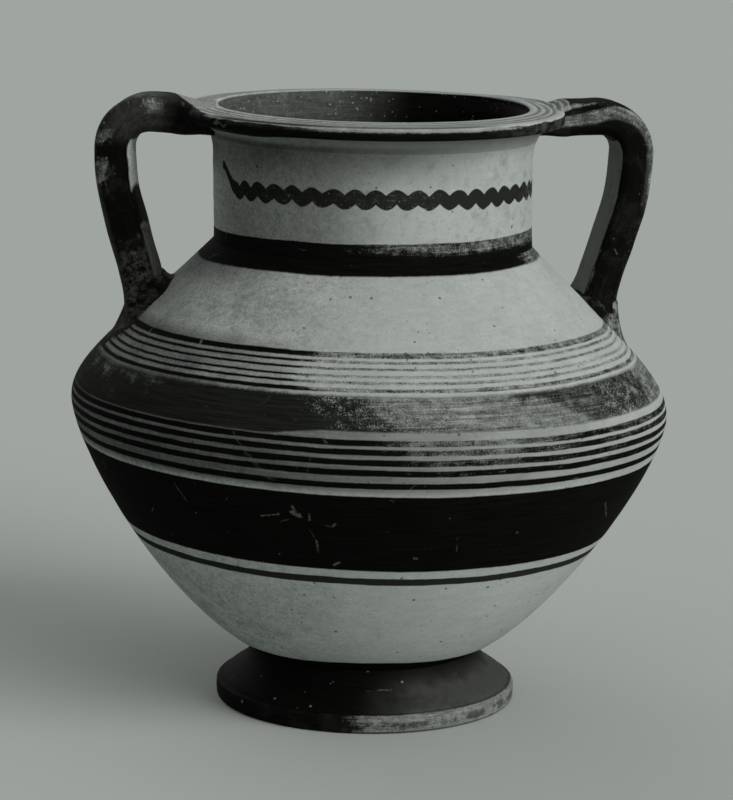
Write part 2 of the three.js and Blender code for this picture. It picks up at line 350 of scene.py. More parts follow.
class KraterStage(bpy.types.PropertyGroup):
    """Light and floor."""

    floor: colour("Floor", "Colour of the floor", 0.435, 0.463, 0.437)
    key: strength("Key", "Strength of the soft key light", 2.85)
    back: strength("Back", "Strength of the weak light from behind", 0.55)
    sky: strength("Sky", "Strength of the light from overhead", 0.48)
    horizon: strength("Horizon", "Strength of the light from the sides", 0.12)


# Meshes

def curve(steps, *points):
    """Points along a Bezier curve through three or four places, each a radius and a height."""
    knots = [Vector((r, 0, z)) for r, z in points]
    if len(knots) == 3:
        first, turn, last = knots
        knots = [first, first.lerp(turn, 2 / 3), last.lerp(turn, 2 / 3), last]
    return interpolate_bezier(*knots, steps)


def joined(*runs):
    """Runs of points end to end, without the points that repeat."""
    line = []
    for p in chain(*runs):
        if not line or (p - line[-1]).length > MERGE_DISTANCE:
            line.append(p)
    return line


def inset_run(points, distance):
    """The run moved to its left by a distance; a point on the axis stays on it."""
    moved = []
    for i, p in enumerate(points):
        along = points[min(i + 1, len(points) - 1)] - points[max(i - 1, 0)]
        left = Vector((-along.z, 0, along.x)).normalized()
        q = p + left * distance
        moved.append(Vector((0, 0, q.z)) if p.x < MERGE_DISTANCE else q)
    return moved


def bowl_outline(sizes):
    """The bowl's outer face, from the axis under its floor up to the widest ring."""
    r, z = sizes.joint_radius, sizes.joint_height
    wide = (sizes.belly_radius, BELLY_HEIGHT)
    floor = curve(24, (0, z - FLOOR_DROP), (r - FLOOR_PULL, z - FLOOR_DROP), (r, z))
    side = curve(
        110, (r, z), (r + BOWL_PULL[0], z + BOWL_PULL[1]), (wide[0], wide[1] - BELLY_PULL), wide)
    return joined(floor, side)


def shoulder_outline(sizes):
    """The shoulder's outer face, from the widest ring up to a small hollow fillet against the neck."""
    wide = (sizes.belly_radius, BELLY_HEIGHT)
    top = (sizes.neck_radius, NECK_BASE)
    pull = (top[0] + COLLAR_PULL, top[1] - COLLAR_PULL)
    side = curve(100, wide, (wide[0], wide[1] + SHOULDER_PULL), pull, top)
    side = [p for p in side if p.z < NECK_BASE - FILLET_DROP]
    fillet = curve(6, (side[-1].x, side[-1].z), top, (top[0], NECK_BASE + FILLET_RISE))
    return joined(side, fillet)


def turned(outline, faces=BODY_FACES, closed=True):
    """Spins an outline round the upright axis into a solid that faces outwards."""
    bm = bmesh.new()
    verts = [bm.verts.new(p) for p in outline]
    pairs = list(zip(verts, verts[1:]))
    if closed:
        pairs.append((verts[-1], verts[0]))
    edges = [bm.edges.new(pair) for pair in pairs]
    bmesh.ops.spin(
        bm, geom=verts + edges, cent=(0, 0, 0), axis=(0, 0, 1), angle=tau, steps=faces, use_merge=True)
    bmesh.ops.remove_doubles(bm, verts=bm.verts, dist=MERGE_DISTANCE)
    bmesh.ops.recalc_face_normals(bm, faces=bm.faces)
    return bm


def smooth(value, low, high):
    """Rises smoothly from 0 to 1 as the value goes from low to high."""
    t = min(max((value - low) / (high - low), 0), 1)
    return t * t * (3 - 2 * t)


def tipped(co):
    """The rim stands askew on the neck and was pulled up a little behind the right handle."""
    off = (atan2(co.y, co.x) - PULL_TURN) / PULL_SPREAD
    pull = exp(-(off ** 2)) * smooth(co.to_2d().length, *PULL_RADII)
    rise = RIM_LIFT + RIM_TIP[0] * co.x + RIM_TIP[1] * co.y + pull * PULL_RISE
    return co + Vector((0, 0, smooth(co.z, *TIP_HEIGHTS) * rise))


def thrown(co):
    """Where hand and kiln left a point of the body: faint wheel rings, lumps, and the sag of the belly."""
    flat = Vector((co.x, co.y, 0))
    if flat.length > MM:
        way = flat.normalized()
        rings = noise.noise(Vector((way.x, way.y, co.z * RINGS_PER_METRE)))
        lumps = noise.noise(co * LUMPS_PER_METRE + Vector((0, 0, LUMP_SHIFT)))
        co = co + way * (RING_DEPTH * rings + LUMP_DEPTH * lumps)
    above = co.z - SAG_MIDDLE
    sag = bpy.context.scene.krater_body.sag
    push = sag * exp(-((above / SAG_REACH) ** 4))
    drop = sag * exp(-((above / (SAG_REACH_ABOVE if above > 0 else SAG_REACH)) ** 4))
    return tipped(Vector((co.x + push * above, co.y, co.z - drop * co.x)))


def settle(bm):
    """Moves every point of a turned piece to where hand and kiln left it."""
    for v in bm.verts:
        v.co = thrown(v.co)
    return bm


def mark_inside(bm):
    """Tells the faces that look into the belly from those that look out of it."""
    middle = Vector((0, 0, BELLY_HEIGHT))
    layer = bm.faces.layers.float.new("inside")
    bm.normal_update()
    for face in bm.faces:
        face[layer] = float(face.normal.dot(face.calc_center_median() - middle) < 0)
    return bm


def make_piece(bm, node, finish):
    """Turns a bmesh into the piece that stands for a node of the frame, with a finish built once."""
    mesh = bpy.data.meshes.new(node + "_clay")
    bm.to_mesh(mesh)
    bm.free()
    mesh.shade_smooth()
    mesh.set_sharp_from_angle(angle=CREASE)
    name = "krater_" + finish.__name__.removesuffix("_finish")
    mesh.materials.append(bpy.data.materials.get(name) or finish(name))
    piece = bpy.data.objects.new(node + "_clay", mesh)
    bpy.context.scene.collection.objects.link(piece)
    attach(piece, "root")
    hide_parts(node)


# Materials

class Wire:
    """A value in a material. Sums and products of wires add the Math nodes for them."""

    def __init__(self, net, socket):
        self.net = net
        self.socket = socket

    def __add__(self, other):
        return self.net.math("ADD", self, other)

    def __sub__(self, other):
        return self.net.math("SUBTRACT", self, other)

    def __rsub__(self, other):
        return self.net.math("SUBTRACT", other, self)

    def __mul__(self, other):
        return self.net.math("MULTIPLY", self, other)

    __radd__ = __add__
    __rmul__ = __mul__


class Net:
    """Adds nodes to a tree and links them."""

    def __init__(self, tree):
        self.tree = tree

    def add(self, kind, inputs=None, **settings):
        """A new node with its settings and its inputs, which are wires or plain values."""
        node = self.tree.nodes.new(kind)
        for name, value in settings.items():
            setattr(node, name, value)
        for name, value in (inputs or {}).items():
            self.feed(node.inputs[name], value)
        return node

    def feed(self, socket, value):
        """Links a wire to a socket, or sets the socket's own value."""
        if isinstance(value, Wire):
            self.tree.links.new(value.socket, socket)
        else:
            socket.default_value = value

    def wire(self, node, output=0):
        """One output of a node."""
        return Wire(self, node.outputs[output])

    def group(self, name, **inputs):
        """The outputs of a shared group that is placed here."""
        node = self.add("ShaderNodeGroup", node_tree=bpy.data.node_groups[name])
        for socket, value in inputs.items():
            self.feed(node.inputs[socket], value)
        return {out.name: Wire(self, out) for out in node.outputs}

    def math(self, operation, *values, clamp=False):
        """A sum of one kind, from the Math node."""
        node = self.add("ShaderNodeMath", dict(enumerate(values)), operation=operation, use_clamp=clamp)
        return self.wire(node)

    def size(self, value):
        """The value without its sign."""
        return self.math("ABSOLUTE", value)

    def most(self, *values):
        """The largest of several values."""
        best = values[0]
        for value in values[1:]:
            best = self.math("MAXIMUM", best, value)
        return best

    def vector(self, operation, a, b=(0, 0, 0)):
        """A sum of vectors, from the Vector Math node."""
        return self.wire(self.add("ShaderNodeVectorMath", {0: a, 1: b}, operation=operation))

    def measure(self, operation, a, b):
        """A number from two vectors, from the Vector Math node."""
        return self.wire(self.add("ShaderNodeVectorMath", {0: a, 1: b}, operation=operation), "Value")

    def scaled(self, vector, factor):
        """A vector or colour times a number."""
        return self.wire(self.add("ShaderNodeVectorMath", {0: vector, "Scale": factor}, operation="SCALE"))

    def combine(self, x=0.0, y=0.0, z=0.0):
        """A vector from its three parts."""
        return self.wire(self.add("ShaderNodeCombineXYZ", {0: x, 1: y, 2: z}))

    def parts(self, vector):
        """The three parts of a vector."""
        node = self.add("ShaderNodeSeparateXYZ", {0: vector})
        return [self.wire(node, i) for i in range(3)]

    def attribute(self, name):
        """A number that the mesh carries."""
        return self.wire(self.add("ShaderNodeAttribute", attribute_name=name), "Fac")

    def step(self, value, low, high, bottom=0.0, top=1.0):
        """Rises smoothly from bottom to top as the value goes from low to high."""
        inputs = dict(enumerate((value, low, high, bottom, top)))
        return self.wire(self.add("ShaderNodeMapRange", inputs, interpolation_type="SMOOTHSTEP"))

    def window(self, value, low, high, soft):
        """1 where the value lies between low and high, with soft ends."""
        return self.step(value, low - soft, low + soft) * self.step(value, high + soft, high - soft)

    def mix(self, factor, a, b):
        """One colour over another."""
        return self.wire(self.add("ShaderNodeMix", {0: factor, 6: a, 7: b}, data_type="RGBA"), 2)

    def noise(self, place, scale, detail=3.0, roughness=0.55):
        """Cloudy noise about one half."""
        inputs = {"Vector": place, "Scale": scale, "Detail": detail, "Roughness": roughness}
        return self.wire(self.add("ShaderNodeTexNoise", inputs))

    def jitter(self, place, scale, detail):
        """A different noise along each axis."""
        inputs = {"Vector": place, "Scale": scale, "Detail": detail}
        return self.wire(self.add("ShaderNodeTexNoise", inputs), "Color")

    def specks(self, place, spacing, size, share):
        """Small round marks."""
        return self.group("Specks", Place=place, Spacing=spacing, Size=size, Share=share)["Mask"]

    def wheel(self, place, turns, heights, out=0.0):
        """Space that is stretched along the wheel's turning."""
        return self.group("Wheel space", Place=place, Turns=turns, Heights=heights, Out=out)["Space"]


def socket_kind(name):
    """Vectors and colours are told by their sockets' names; every other socket is a number."""
    if name in ("Place", "Brush", "Space"):
        return "NodeSocketVector"
    if name in ("Color", "Tone", "Paint", "Ground", "Clay", "Thin", "Thick"):
        return "NodeSocketColor"
    return "NodeSocketFloat"


def new_group(name, inputs, outputs):
    """An empty shader group with its sockets, the net inside it and its inputs as wires."""
    tree = bpy.data.node_groups.new(name, "ShaderNodeTree")
    for in_out, sockets in (("INPUT", inputs), ("OUTPUT", outputs)):
        for socket in sockets.split():
            tree.interface.new_socket(name=socket, in_out=in_out, socket_type=socket_kind(socket))
    net = Net(tree)
    given = net.add("NodeGroupInput")
    return net, [Wire(net, socket) for socket in given.outputs if socket.name]


def close_group(net, **outputs):
    """Ends a shader group with what it puts out."""
    net.add("NodeGroupOutput", outputs)


def wheel_space_group():
    """Space stretched along the wheel's turning, for streaks: steps per radian and metre, less a way out."""
    net, (place, turns, heights, out) = new_group("Wheel space", "Place Turns Heights Out", "Space")
    way = net.vector("NORMALIZE", net.vector("MULTIPLY", place, (1, 1, 0)))
    height = net.parts(place)[2] * heights - out
    close_group(net, Space=net.vector("ADD", net.scaled(way, turns), net.combine(z=height)))


def brush_place_group():
    """Where a brush on the turning vessel lies: height and radius in millimetres, degrees from the front."""
    net, (place,) = new_group("Brush place", "Place", "Height Around Radius")
    x, y, z = net.parts(net.scaled(place, 1 / MM))
    tilt = net.step(z, 160, 185, 0.0200, 0.0079)
    drift = net.noise(net.wheel(place, 1.6, 14), 1, 1) - 0.5
    waver = net.noise(net.wheel(place, 26, 260), 1, 2) - 0.5
    height = z + x * tilt + drift * 1.6 + waver * 0.5
    around = net.math("ARCTAN2", x, y * -1) * (180 / pi)
    close_group(net, Height=height, Around=around, Radius=net.math("SQRT", x * x + y * y))


def brush_line_group():
    """One painted line: how much of a point its brush covered."""
    net, (height, swell, middle, width) = new_group("Brush line", "Height Swell Middle Width", "Mask")
    edge = net.size(height - middle) - width * swell * 0.5
    close_group(net, Mask=net.step(edge, 0.28, -0.28))


def specks_group():
    """Small round marks: how far apart and how large in metres, and the share of them that is there."""
    net, (place, spacing, size, share) = new_group("Specks", "Place Spacing Size Share", "Mask")
    cells = net.add("ShaderNodeTexVoronoi", {"Vector": place, "Scale": net.math("DIVIDE", 1, spacing)})
    luck = net.parts(net.wire(cells, "Color"))
    radius = luck[1] * net.math("DIVIDE", size, spacing) + 0.02
    there = net.math("LESS_THAN", luck[0], share)
    close_group(net, Mask=net.step(net.wire(cells, "Distance") - radius, 0.04, -0.04) * there)


def clay_ground_group():
    """Bare fired clay: cloudy tone, grain, dark grits, pale grits and the marks of the wheel."""
    net, (place, brush, around, tone, darkening) = new_group(
        "Clay ground", "Place Brush Around Tone Soil", "Color Relief")
    cloud = net.noise(place, 34, 5, 0.6)
    grain = net.noise(place, 1100, 3, 0.6)
    streak = net.noise(net.vector("MULTIPLY", brush, (0.07, 0.07, 0.42)), 1, 3)
    dark = net.specks(place, 5.2 * MM, 0.75 * MM, 0.4)
    fine_dark = net.specks(place, 1.9 * MM, 0.36 * MM, 0.5)
    pale = net.specks(net.vector("ADD", place, (0.3, 0.1, 0.2)), 4.0 * MM, 0.45 * MM, 0.25)
    bloom = net.noise(place, 120, 4, 0.65)
    rough = net.window(around, -150, -14, 26) * 1.5 + 0.4
    fine = net.noise(place, 430, 3, 0.6)
    shade = (bloom - 0.5) * 0.6 + (grain - 0.5) * 0.7 + (fine - 0.5) * 0.5
    shade = shade * rough + (cloud - 0.5) * (rough * 0.3 + 0.15) + (streak - 0.5) * 0.25
    dirt = net.step(bloom, 0.48, 0.72) * darkening
    level = (shade + 1.0) * (1.0 - dark * 0.6) * (1.0 - fine_dark * 0.32)
    level = level * (1.0 - dirt * 0.45) + pale * 0.22
    relief = grain * 0.3 + bloom * 0.3 + streak * 0.5 + cloud * 0.5
    relief = relief - dark * 0.6 - fine_dark * 0.25 + pale * 0.3
    close_group(net, Color=net.scaled(tone, level), Relief=relief)


def paint_grain_group():
    """How paint lies and wears: grain that decides what is rubbed off, slow patches, and brush streaks."""
    net, (place, brush) = new_group("Paint grain", "Place Brush", "Grain Patch Streak Swell")
    fine = net.noise(net.vector("MULTIPLY", brush, (1.5, 1.5, 1.7)), 1, 3, 0.7)
    coarse = net.noise(net.vector("MULTIPLY", brush, (0.20, 0.20, 0.32)), 1, 3, 0.6)
    patch = net.step(net.noise(place, 17, 4, 0.6), 0.38, 0.66)
    streak = net.noise(net.vector("MULTIPLY", brush, (0.04, 0.04, 1.1)), 1, 3, 0.6)
    swell = net.noise(net.vector("MULTIPLY", brush, (0.038, 0.038, 0.3)), 1, 1) * 0.6 + 0.72
    close_group(net, Grain=fine * 1.5 + coarse * 0.9 - 0.7, Patch=patch, Streak=streak, Swell=swell)


def knocks_group():
    """Knocks through the paint: small chips, and thin scratches that come in a few places."""
    net, (place, share) = new_group("Knocks", "Place Share", "Mask")
    bent = net.vector("ADD", place, net.scaled(net.jitter(place, 260, 3), 3 * MM))
    chips = net.specks(bent, 13 * MM, 0.9 * MM, share)
    dust = net.specks(bent, 4 * MM, 0.3 * MM, share)
    lines = net.add("ShaderNodeTexVoronoi", {"Vector": bent, "Scale": 21.0}, feature="DISTANCE_TO_EDGE")
    thin = net.step(net.wire(lines, "Distance"), 0.008, 0.002)
    rare = net.step(net.noise(place, 60, 2), 0.62, 0.68)
    close_group(net, Mask=net.most(chips * 0.32, dust * 0.4, thin * rare * 0.2))


def paint_wear_group():
    """What is left of a paint after wear, from 0, none rubbed off, to 1."""
    net, (grain, streak, wear, graininess, streakiness) = new_group(
        "Paint wear", "Grain Streak Wear Graininess Streakiness", "Kept")
    rough = (grain - 0.5) * graininess + (streak - 0.5) * streakiness
    sound = net.step(wear, 0.06, 0.0) * 0.7
    close_group(net, Kept=net.step(rough - wear * 1.5 + sound, -1.15, -0.25))


def paint_tone_group():
    """A paint's colour with its brush streaks."""
    net, (streak, paint) = new_group("Paint tone", "Streak Paint", "Color")
    light = net.vector("ADD", net.scaled(paint, 1.5), (0.0006, 0.0006, 0.0006))
    close_group(net, Color=net.mix(net.step(streak, 0.3, 0.75), net.scaled(paint, 0.7), light))


def inside_wash_group():
    """Wash on the inside: black on the mouth's right as painted shade, where that side of the inside lies in
    shade; thin and specked with bare clay on the lit left.
    """
    net, (place, around, kept, clay, thin_paint, thick_paint) = new_group(
        "Inside wash", "Place Around Kept Clay Thin Thick", "Color")
    # painted shade: the wash turns black on the right, the shaded side of the mouth's inside
    thick = net.step(net.math("SINE", around * (pi / 180)), -0.35, 0.3)
    thin = net.mix(kept * 0.98, clay, thin_paint)
    bare = net.specks(place, 2.3 * MM, 0.55 * MM, 0.6) * (1 - thick * 0.6)
    close_group(net, Color=net.mix(bare * 0.6, net.mix(thick, thin, thick_paint), clay))


def soot_group():
    """Painted shade: the rim's shadow on the neck below it, shade down the neck's left side and a little on
    its lit right side; how much of the clay it darkens.
    """
    net, (height, around, patch) = new_group("Soot", "Height Around Patch", "Amount")
    # painted shadow of the rim on the neck below it
    high = net.step(height, 264, 286) * net.step(around, 52, 2, 0.08, 0.52)
    high = high * net.window(around, -115, 140, 20)
    # painted shade down the neck's left, the side away from the light
    left = net.window(around, -66, -5, 18) * 0.48
    # painted shade dimming the lit right side of the neck
    right = net.window(around, 38, 120, 16) * 0.08
    amount = net.most(1 - (1 - high) * (1 - left), right) * (patch * 0.24 + 0.88)
    close_group(net, Amount=amount)


def soiling_group():
    """Clay darkened by soil and old smears, and by painted shade."""
    net, (ground, amount) = new_group("Soiling", "Ground Amount", "Color")
    close_group(net, Color=net.scaled(ground, 1 - amount))


def build_groups():
    """Builds the shared shader groups once, each after those that it uses."""
    if "Specks" in bpy.data.node_groups:
        return
    for build in (
            specks_group, wheel_space_group, brush_place_group, brush_line_group, clay_ground_group,
            paint_grain_group, knocks_group, paint_wear_group, paint_tone_group, inside_wash_group,
            soot_group, soiling_group):
        build()


class Finish(Net):
    """A material in the making: its net, the shared groups placed in it and the colours of the vessel."""

    def __init__(self, name, kind="wall"):
        self.material = bpy.data.materials.new(name)
        self.material.use_nodes = True
        self.material.node_tree.nodes.clear()
        super().__init__(self.material.node_tree)
        build_groups()
        self.colours = bpy.context.scene.krater_finish
        self.at = self.wire(self.add("ShaderNodeTexCoord"), "Object")
        self.spot = self.group("Brush place", Place=self.at)
        if kind == "strap":
            self.brush = self.stroke()
        else:
            out = self.spot["Radius"] if kind == "ledge" else 0.0
            self.brush = self.wheel(self.at, BRUSH_TURNS, BRUSH_HEIGHTS, out)
        self.lay = self.group("Paint grain", Place=self.at, Brush=self.brush)

    def stroke(self):
        """Brush space of a strap, which was painted along its length."""
        self.along, self.out, self.front = (self.attribute(name) for name in ("along", "out", "front"))
        run, out, across = STRAP_STROKE
        return self.combine(x=self.along * run, z=self.out * out + self.front * across)

    def clay(self, darkening=0.3):
        """Bare clay with a share of soil."""
        return self.group(
            "Clay ground", Place=self.at, Brush=self.brush, Around=self.spot["Around"],
            Tone=(*self.colours.clay, 1), Soil=darkening)

    def soiled(self, clay, amount):
        """The clay's colour, darkened by soil, smears and painted shade."""
        return self.group("Soiling", Ground=clay["Color"], Amount=amount)["Color"]

    def soot(self):
        """How much of the clay painted shade darkens under the rim and down the neck's sides."""
        spot = self.spot
        return self.group(
            "Soot", Height=spot["Height"], Around=spot["Around"], Patch=self.lay["Patch"])["Amount"]

    def marks(self, marks):
        """Scratches, as strokes on the unrolled wall."""
        flat = self.combine(self.spot["Around"] * BELLY_MM_PER_DEGREE, self.spot["Height"])
        warp = self.vector("MULTIPLY", self.jitter(self.at, 420, 2), (2, 2, 0))
        spot = self.vector("ADD", flat, warp)
        found = 0.0
        for around, height, to_around, to_height, half, amount in marks:
            start = Vector((around * BELLY_MM_PER_DEGREE + 1, height + 1, 0))
            run = Vector((to_around * BELLY_MM_PER_DEGREE + 1, to_height + 1, 0)) - start
            away = self.vector("SUBTRACT", spot, start)
            share = self.measure("DOT_PRODUCT", away, run / run.length_squared)
            nearest = self.scaled(run, self.math("MULTIPLY", share, 1, clamp=True))
            gap = self.measure("DISTANCE", away, nearest)
            found = self.most(self.step(gap, half + MARK_SOFT, half - MARK_SOFT) * amount, found)
        return found * self.step(self.noise(self.at, 620, 3, 0.7), 0.34, 0.58)

    def knocks(self, share):
        """Chips and scratches through the paint."""
        return self.group("Knocks", Place=self.at, Share=share)["Mask"]

    def line(self, middle, width, height=None):
        """One painted line, by height on the wall or by another measure."""
        height = height or self.spot["Height"]
        return self.group(
            "Brush line", Height=height, Swell=self.lay["Swell"], Middle=middle, Width=width)["Mask"]

    def kept(self, wear, grain=1.0, streak=0.9):
        """What wear leaves of a paint."""
        return self.group(
            "Paint wear", Grain=self.lay["Grain"], Streak=self.lay["Streak"], Wear=wear,
            Graininess=grain, Streakiness=streak)["Kept"]

    def paint(self, tone):
        """A paint with its brush streaks."""
        return self.group("Paint tone", Streak=self.lay["Streak"], Paint=(*tone, 1))["Color"]

    def black(self):
        """The black paint with its brush streaks."""
        return self.paint(self.colours.black_paint)

    def wash(self, clay):
        """The wash on the inside of the neck and the rim, with painted shade on its right."""
        return self.group(
            "Inside wash", Place=self.at, Around=self.spot["Around"], Kept=self.kept(0.16, 1.0, 0.3),
            Clay=clay["Color"], Thin=self.paint(self.colours.inside_paint), Thick=self.black())["Color"]

    def dullness(self, painted, smoothness=PAINT_SMOOTHNESS):
        """Roughness of dull clay with smoother paint on it."""
        return CLAY_ROUGHNESS - painted * smoothness

    def close(self, tone, roughness, clay, depth=WALL_RELIEF):
        """Ends the material with its shader."""
        bump = self.add(
            "ShaderNodeBump", {"Strength": BUMP_STRENGTH, "Distance": depth, "Height": clay["Relief"]})
        shader = self.add("ShaderNodeBsdfPrincipled", {
            "Base Color": tone, "Roughness": roughness, "Specular IOR Level": SPECULAR,
            "Normal": self.wire(bump)})
        self.add("ShaderNodeOutputMaterial", {"Surface": self.wire(shader)})
        return self.material


def body_lines(net, back_rub, around):
    """The thin line and the two groups of lines, rubbed at the front and the right."""
    rub = net.most(net.window(around, -17, 92, 9), back_rub * 0.8)
    lower_rub = net.window(around, 40, 92, 9) * 0.5
    lower_rub = net.most(net.window(around, 6, 37, 9), lower_rub, back_rub * 0.5)
    lines = net.line(*THIN_LINE) * 0.96
    for group, rubbed in ((UPPER_LINES, rub), (LOWER_LINES, lower_rub)):
        for middle, width, amount in group:
            lines = net.most(lines, net.line(middle, width) * net.kept(rubbed * amount))
    return lines


def matt_band(net, back_rub, around):
    """The matt band, whose wear runs aslant at the front and comes in patches at the sides."""
    height = net.spot["Height"]
    slant = around + (height - 173) * 1.1
    foot = MATT_BAND[0] - net.window(around, -140, -17, 9) * 2.9
    ragged = height + (net.lay["Grain"] - 0.5) * 1.4
    band = net.step(height - foot, -0.6, 0.6) * net.step(ragged, MATT_BAND[1] + 0.8, MATT_BAND[1] - 0.8)
    cloud = net.step(net.noise(net.at, 60, 4, 0.6), 0.42, 0.62)
    far_left = net.window(around, -140, -44, 12) * (cloud * 0.18 + net.step(height, 170, 181) * 0.26)
    front = net.step(slant, -12, 12) * net.step(slant, 46, 34) * 0.43
    near_right = net.window(around, 30, 58, 5) * 0.27
    right = net.step(around, 58, 72) * net.step(around, *BACK_FADE) * 0.38
    wear = net.most(front, near_right, right, back_rub * 0.5, cloud * 0.09, far_left)
    speckled = net.most(net.window(slant, -10, 10, 8) * 0.22, net.window(around, 52, 82, 5) * 0.24)
    return band * net.kept(wear, 0.6, 0.8) * net.kept(speckled, 1.7, 0.3)


def body_smears(net, around):
    """Paint smeared over the clay between the lines, painted shade up the left of the shoulder, and painted
    light on the bowl's front below the black band.
    """
    height = net.spot["Height"]
    low = net.window(height, 137, 167, 2.5) * net.step(around, 75, -40, 0.10, 0.72)
    low = low * net.step(around, -150, -110) * net.step(around, *BACK_FADE)
    high = net.window(height, 178, 200, 3) * net.window(around, STAIN_AND_SHADE_START, -26, 20) * 0.56
    top = net.window(height, 178, 182.5, 1) * net.window(around, STAIN_AND_SHADE_START, -24, 14) * 0.7
    # painted shade up the left of the shoulder, away from the light, deepest just below the neck band
    darkening = net.window(height, 198, 230, 3) * net.window(around, STAIN_AND_SHADE_START, -46, 22) * 0.18
    darkening = darkening + net.step(height, 214, 230) * net.window(around, STAIN_AND_SHADE_START, -44, 16) * 0.42
    smear = net.most(low, high, top) * (net.lay["Streak"] * 0.6 + 0.7) + darkening
    # painted light lifting the bowl's front below the black band
    return smear - net.step(height, 96, 86) * net.window(around, -28, 50, 20) * 0.14


def root_blots(net):
    """The ragged blot of paint round each handle's foot."""
    ragged = (net.noise(net.at, 110, 4, 0.65) - 0.5) * 0.8
    blots = 0.0
    for middle in ROOT_TURNS:
        sideways = net.size(net.spot["Around"] - middle) * 0.075
        rise = net.size(net.spot["Height"] - ROOT_HEIGHT) * 0.06
        blot = net.math("SQRT", sideways * sideways + rise * rise) + ragged
        blots = net.most(net.step(blot, 1.0, 0.86), blots)
    return blots * net.kept(0.14)


def foot_lap(net, z):
    """The foot's paint, lapped a little way up the bowl, lower at the sides."""
    aside = net.size(net.spot["Around"])
    top = net.step(aside, 34, 4, 33.2, 34.8) - net.step(aside, 56, 72) * 3.5
    return net.step(z - (top + (net.lay["Swell"] - 1) * 1.5), 0.3, -0.3)


def body_finish(name):
    """Bare clay with the groups of lines, the matt band, the black band and the thin line below it."""
    net = Finish(name)
    height, patch = net.spot["Height"], net.lay["Patch"]
    around = net.spot["Around"] + (patch - 0.5) * 10
    clay = net.clay()
    back_rub = patch * net.step(net.size(around), 80, 125)
    lines = body_lines(net, back_rub, around)
    x, _, z = net.parts(net.scaled(net.at, 1 / MM))
    neck_band = net.step(height - x * 0.012, NECK_BAND[0] - 0.9, NECK_BAND[0] + 0.1)
    neck_band = neck_band * net.kept(net.window(net.spot["Around"], 64, 110, 8) * 0.36)
    black_band = net.window(height, *BLACK_BAND, 0.35)
    scars = net.most(net.knocks(0.12), net.marks(MARKS))
    painted = net.most(lines, neck_band, black_band) * (1 - scars)
    matt = matt_band(net, back_rub, around)
    # paint smears, painted shade on the shoulder's left and painted light on the bowl's front
    smear = body_smears(net, around)
    blots = root_blots(net)
    painted = net.most(painted, foot_lap(net, z), blots)
    tone = net.mix(matt, net.soiled(clay, smear), net.paint(net.colours.matt_paint))
    tone = net.mix(painted, tone, net.black())
    bottom = net.mix(patch * 0.3, (*net.colours.inside_paint, 1), clay["Color"])
    tone = net.mix(net.attribute("inside"), tone, bottom)
    return net.close(tone, BODY_ROUGHNESS, clay)


def wavy_line(net):
    """The wavy line: two scalloped edges, with a tail drawn up at its start."""
    height, around = net.spot["Height"], net.spot["Around"]
    past = net.math("MODULO", around - WAVE_START + (360 + WAVE_TAIL), 360) - WAVE_TAIL
    ripple = net.noise(net.wheel(net.at, 3, 5), 1, 1) * 3.0
    turn = past * (pi / HALF_WAVE) + ripple * 0.5 - 0.24
    swing = net.noise(net.wheel(net.at, 8, 5), 1, 1) * 1.6 + 0.6
    upper = net.size(net.math("COSINE", turn)) - 0.5
    lower = net.size(net.math("SINE", turn)) - 0.5
    tail = net.step(past, 1.0, -9.5) * 10.5
    settled = swing * net.step(past, -4, 4) * 2
    reach = net.step(past, -10.5, 2.0, 2.0, 3.5) * (net.lay["Swell"] * 0.4 + 0.6)
    off = height - tail - WAVE_MIDDLE
    above = off - reach - upper * settled
    below = 0 - off - reach - lower * settled
    wave = net.step(net.most(above, below), 0.3, -0.3) * net.window(past, -10, WAVE_END, 0.4)
    wear = net.most(net.window(around, -45, 25, 12) * 0.12, net.window(around, 66, 96, 8) * 0.2)
    specked = net.specks(net.at, 1.6 * MM, 0.35 * MM, 0.5) * net.window(around, -50, 20, 14) * 0.7
    return wave * net.kept(wear) * (1 - specked)


def neck_finish(name):
    """Bare clay with the wavy line and the top of the band at the neck's foot; a dark wash inside."""
    net = Finish(name)
    height, around, radius = net.spot["Height"], net.spot["Around"], net.spot["Radius"]
    clay = net.clay(0.6)
    wave = wavy_line(net)
    x = net.parts(net.at)[0] * (1 / MM)
    band = net.step(height - x * 0.0166 - NECK_BAND[1], 0.3, -0.3)
    band_wear = net.step(around, -25, 20) * net.step(around, *RIGHT_FADE) * net.step(height, 236.5, 240.5)
    band = band * net.kept(band_wear * 0.34)
    painted = net.most(wave * 0.96, band) * (1 - net.knocks(0.10))
    inside = net.step(radius, 77.0, 76.4)
    # the neck's clay darkened by painted shade under the rim and down its sides
    tone = net.mix(painted, net.soiled(clay, net.soot()), net.black())
    tone = net.mix(inside, tone, net.wash(clay))
    return net.close(tone, net.dullness(painted), clay)


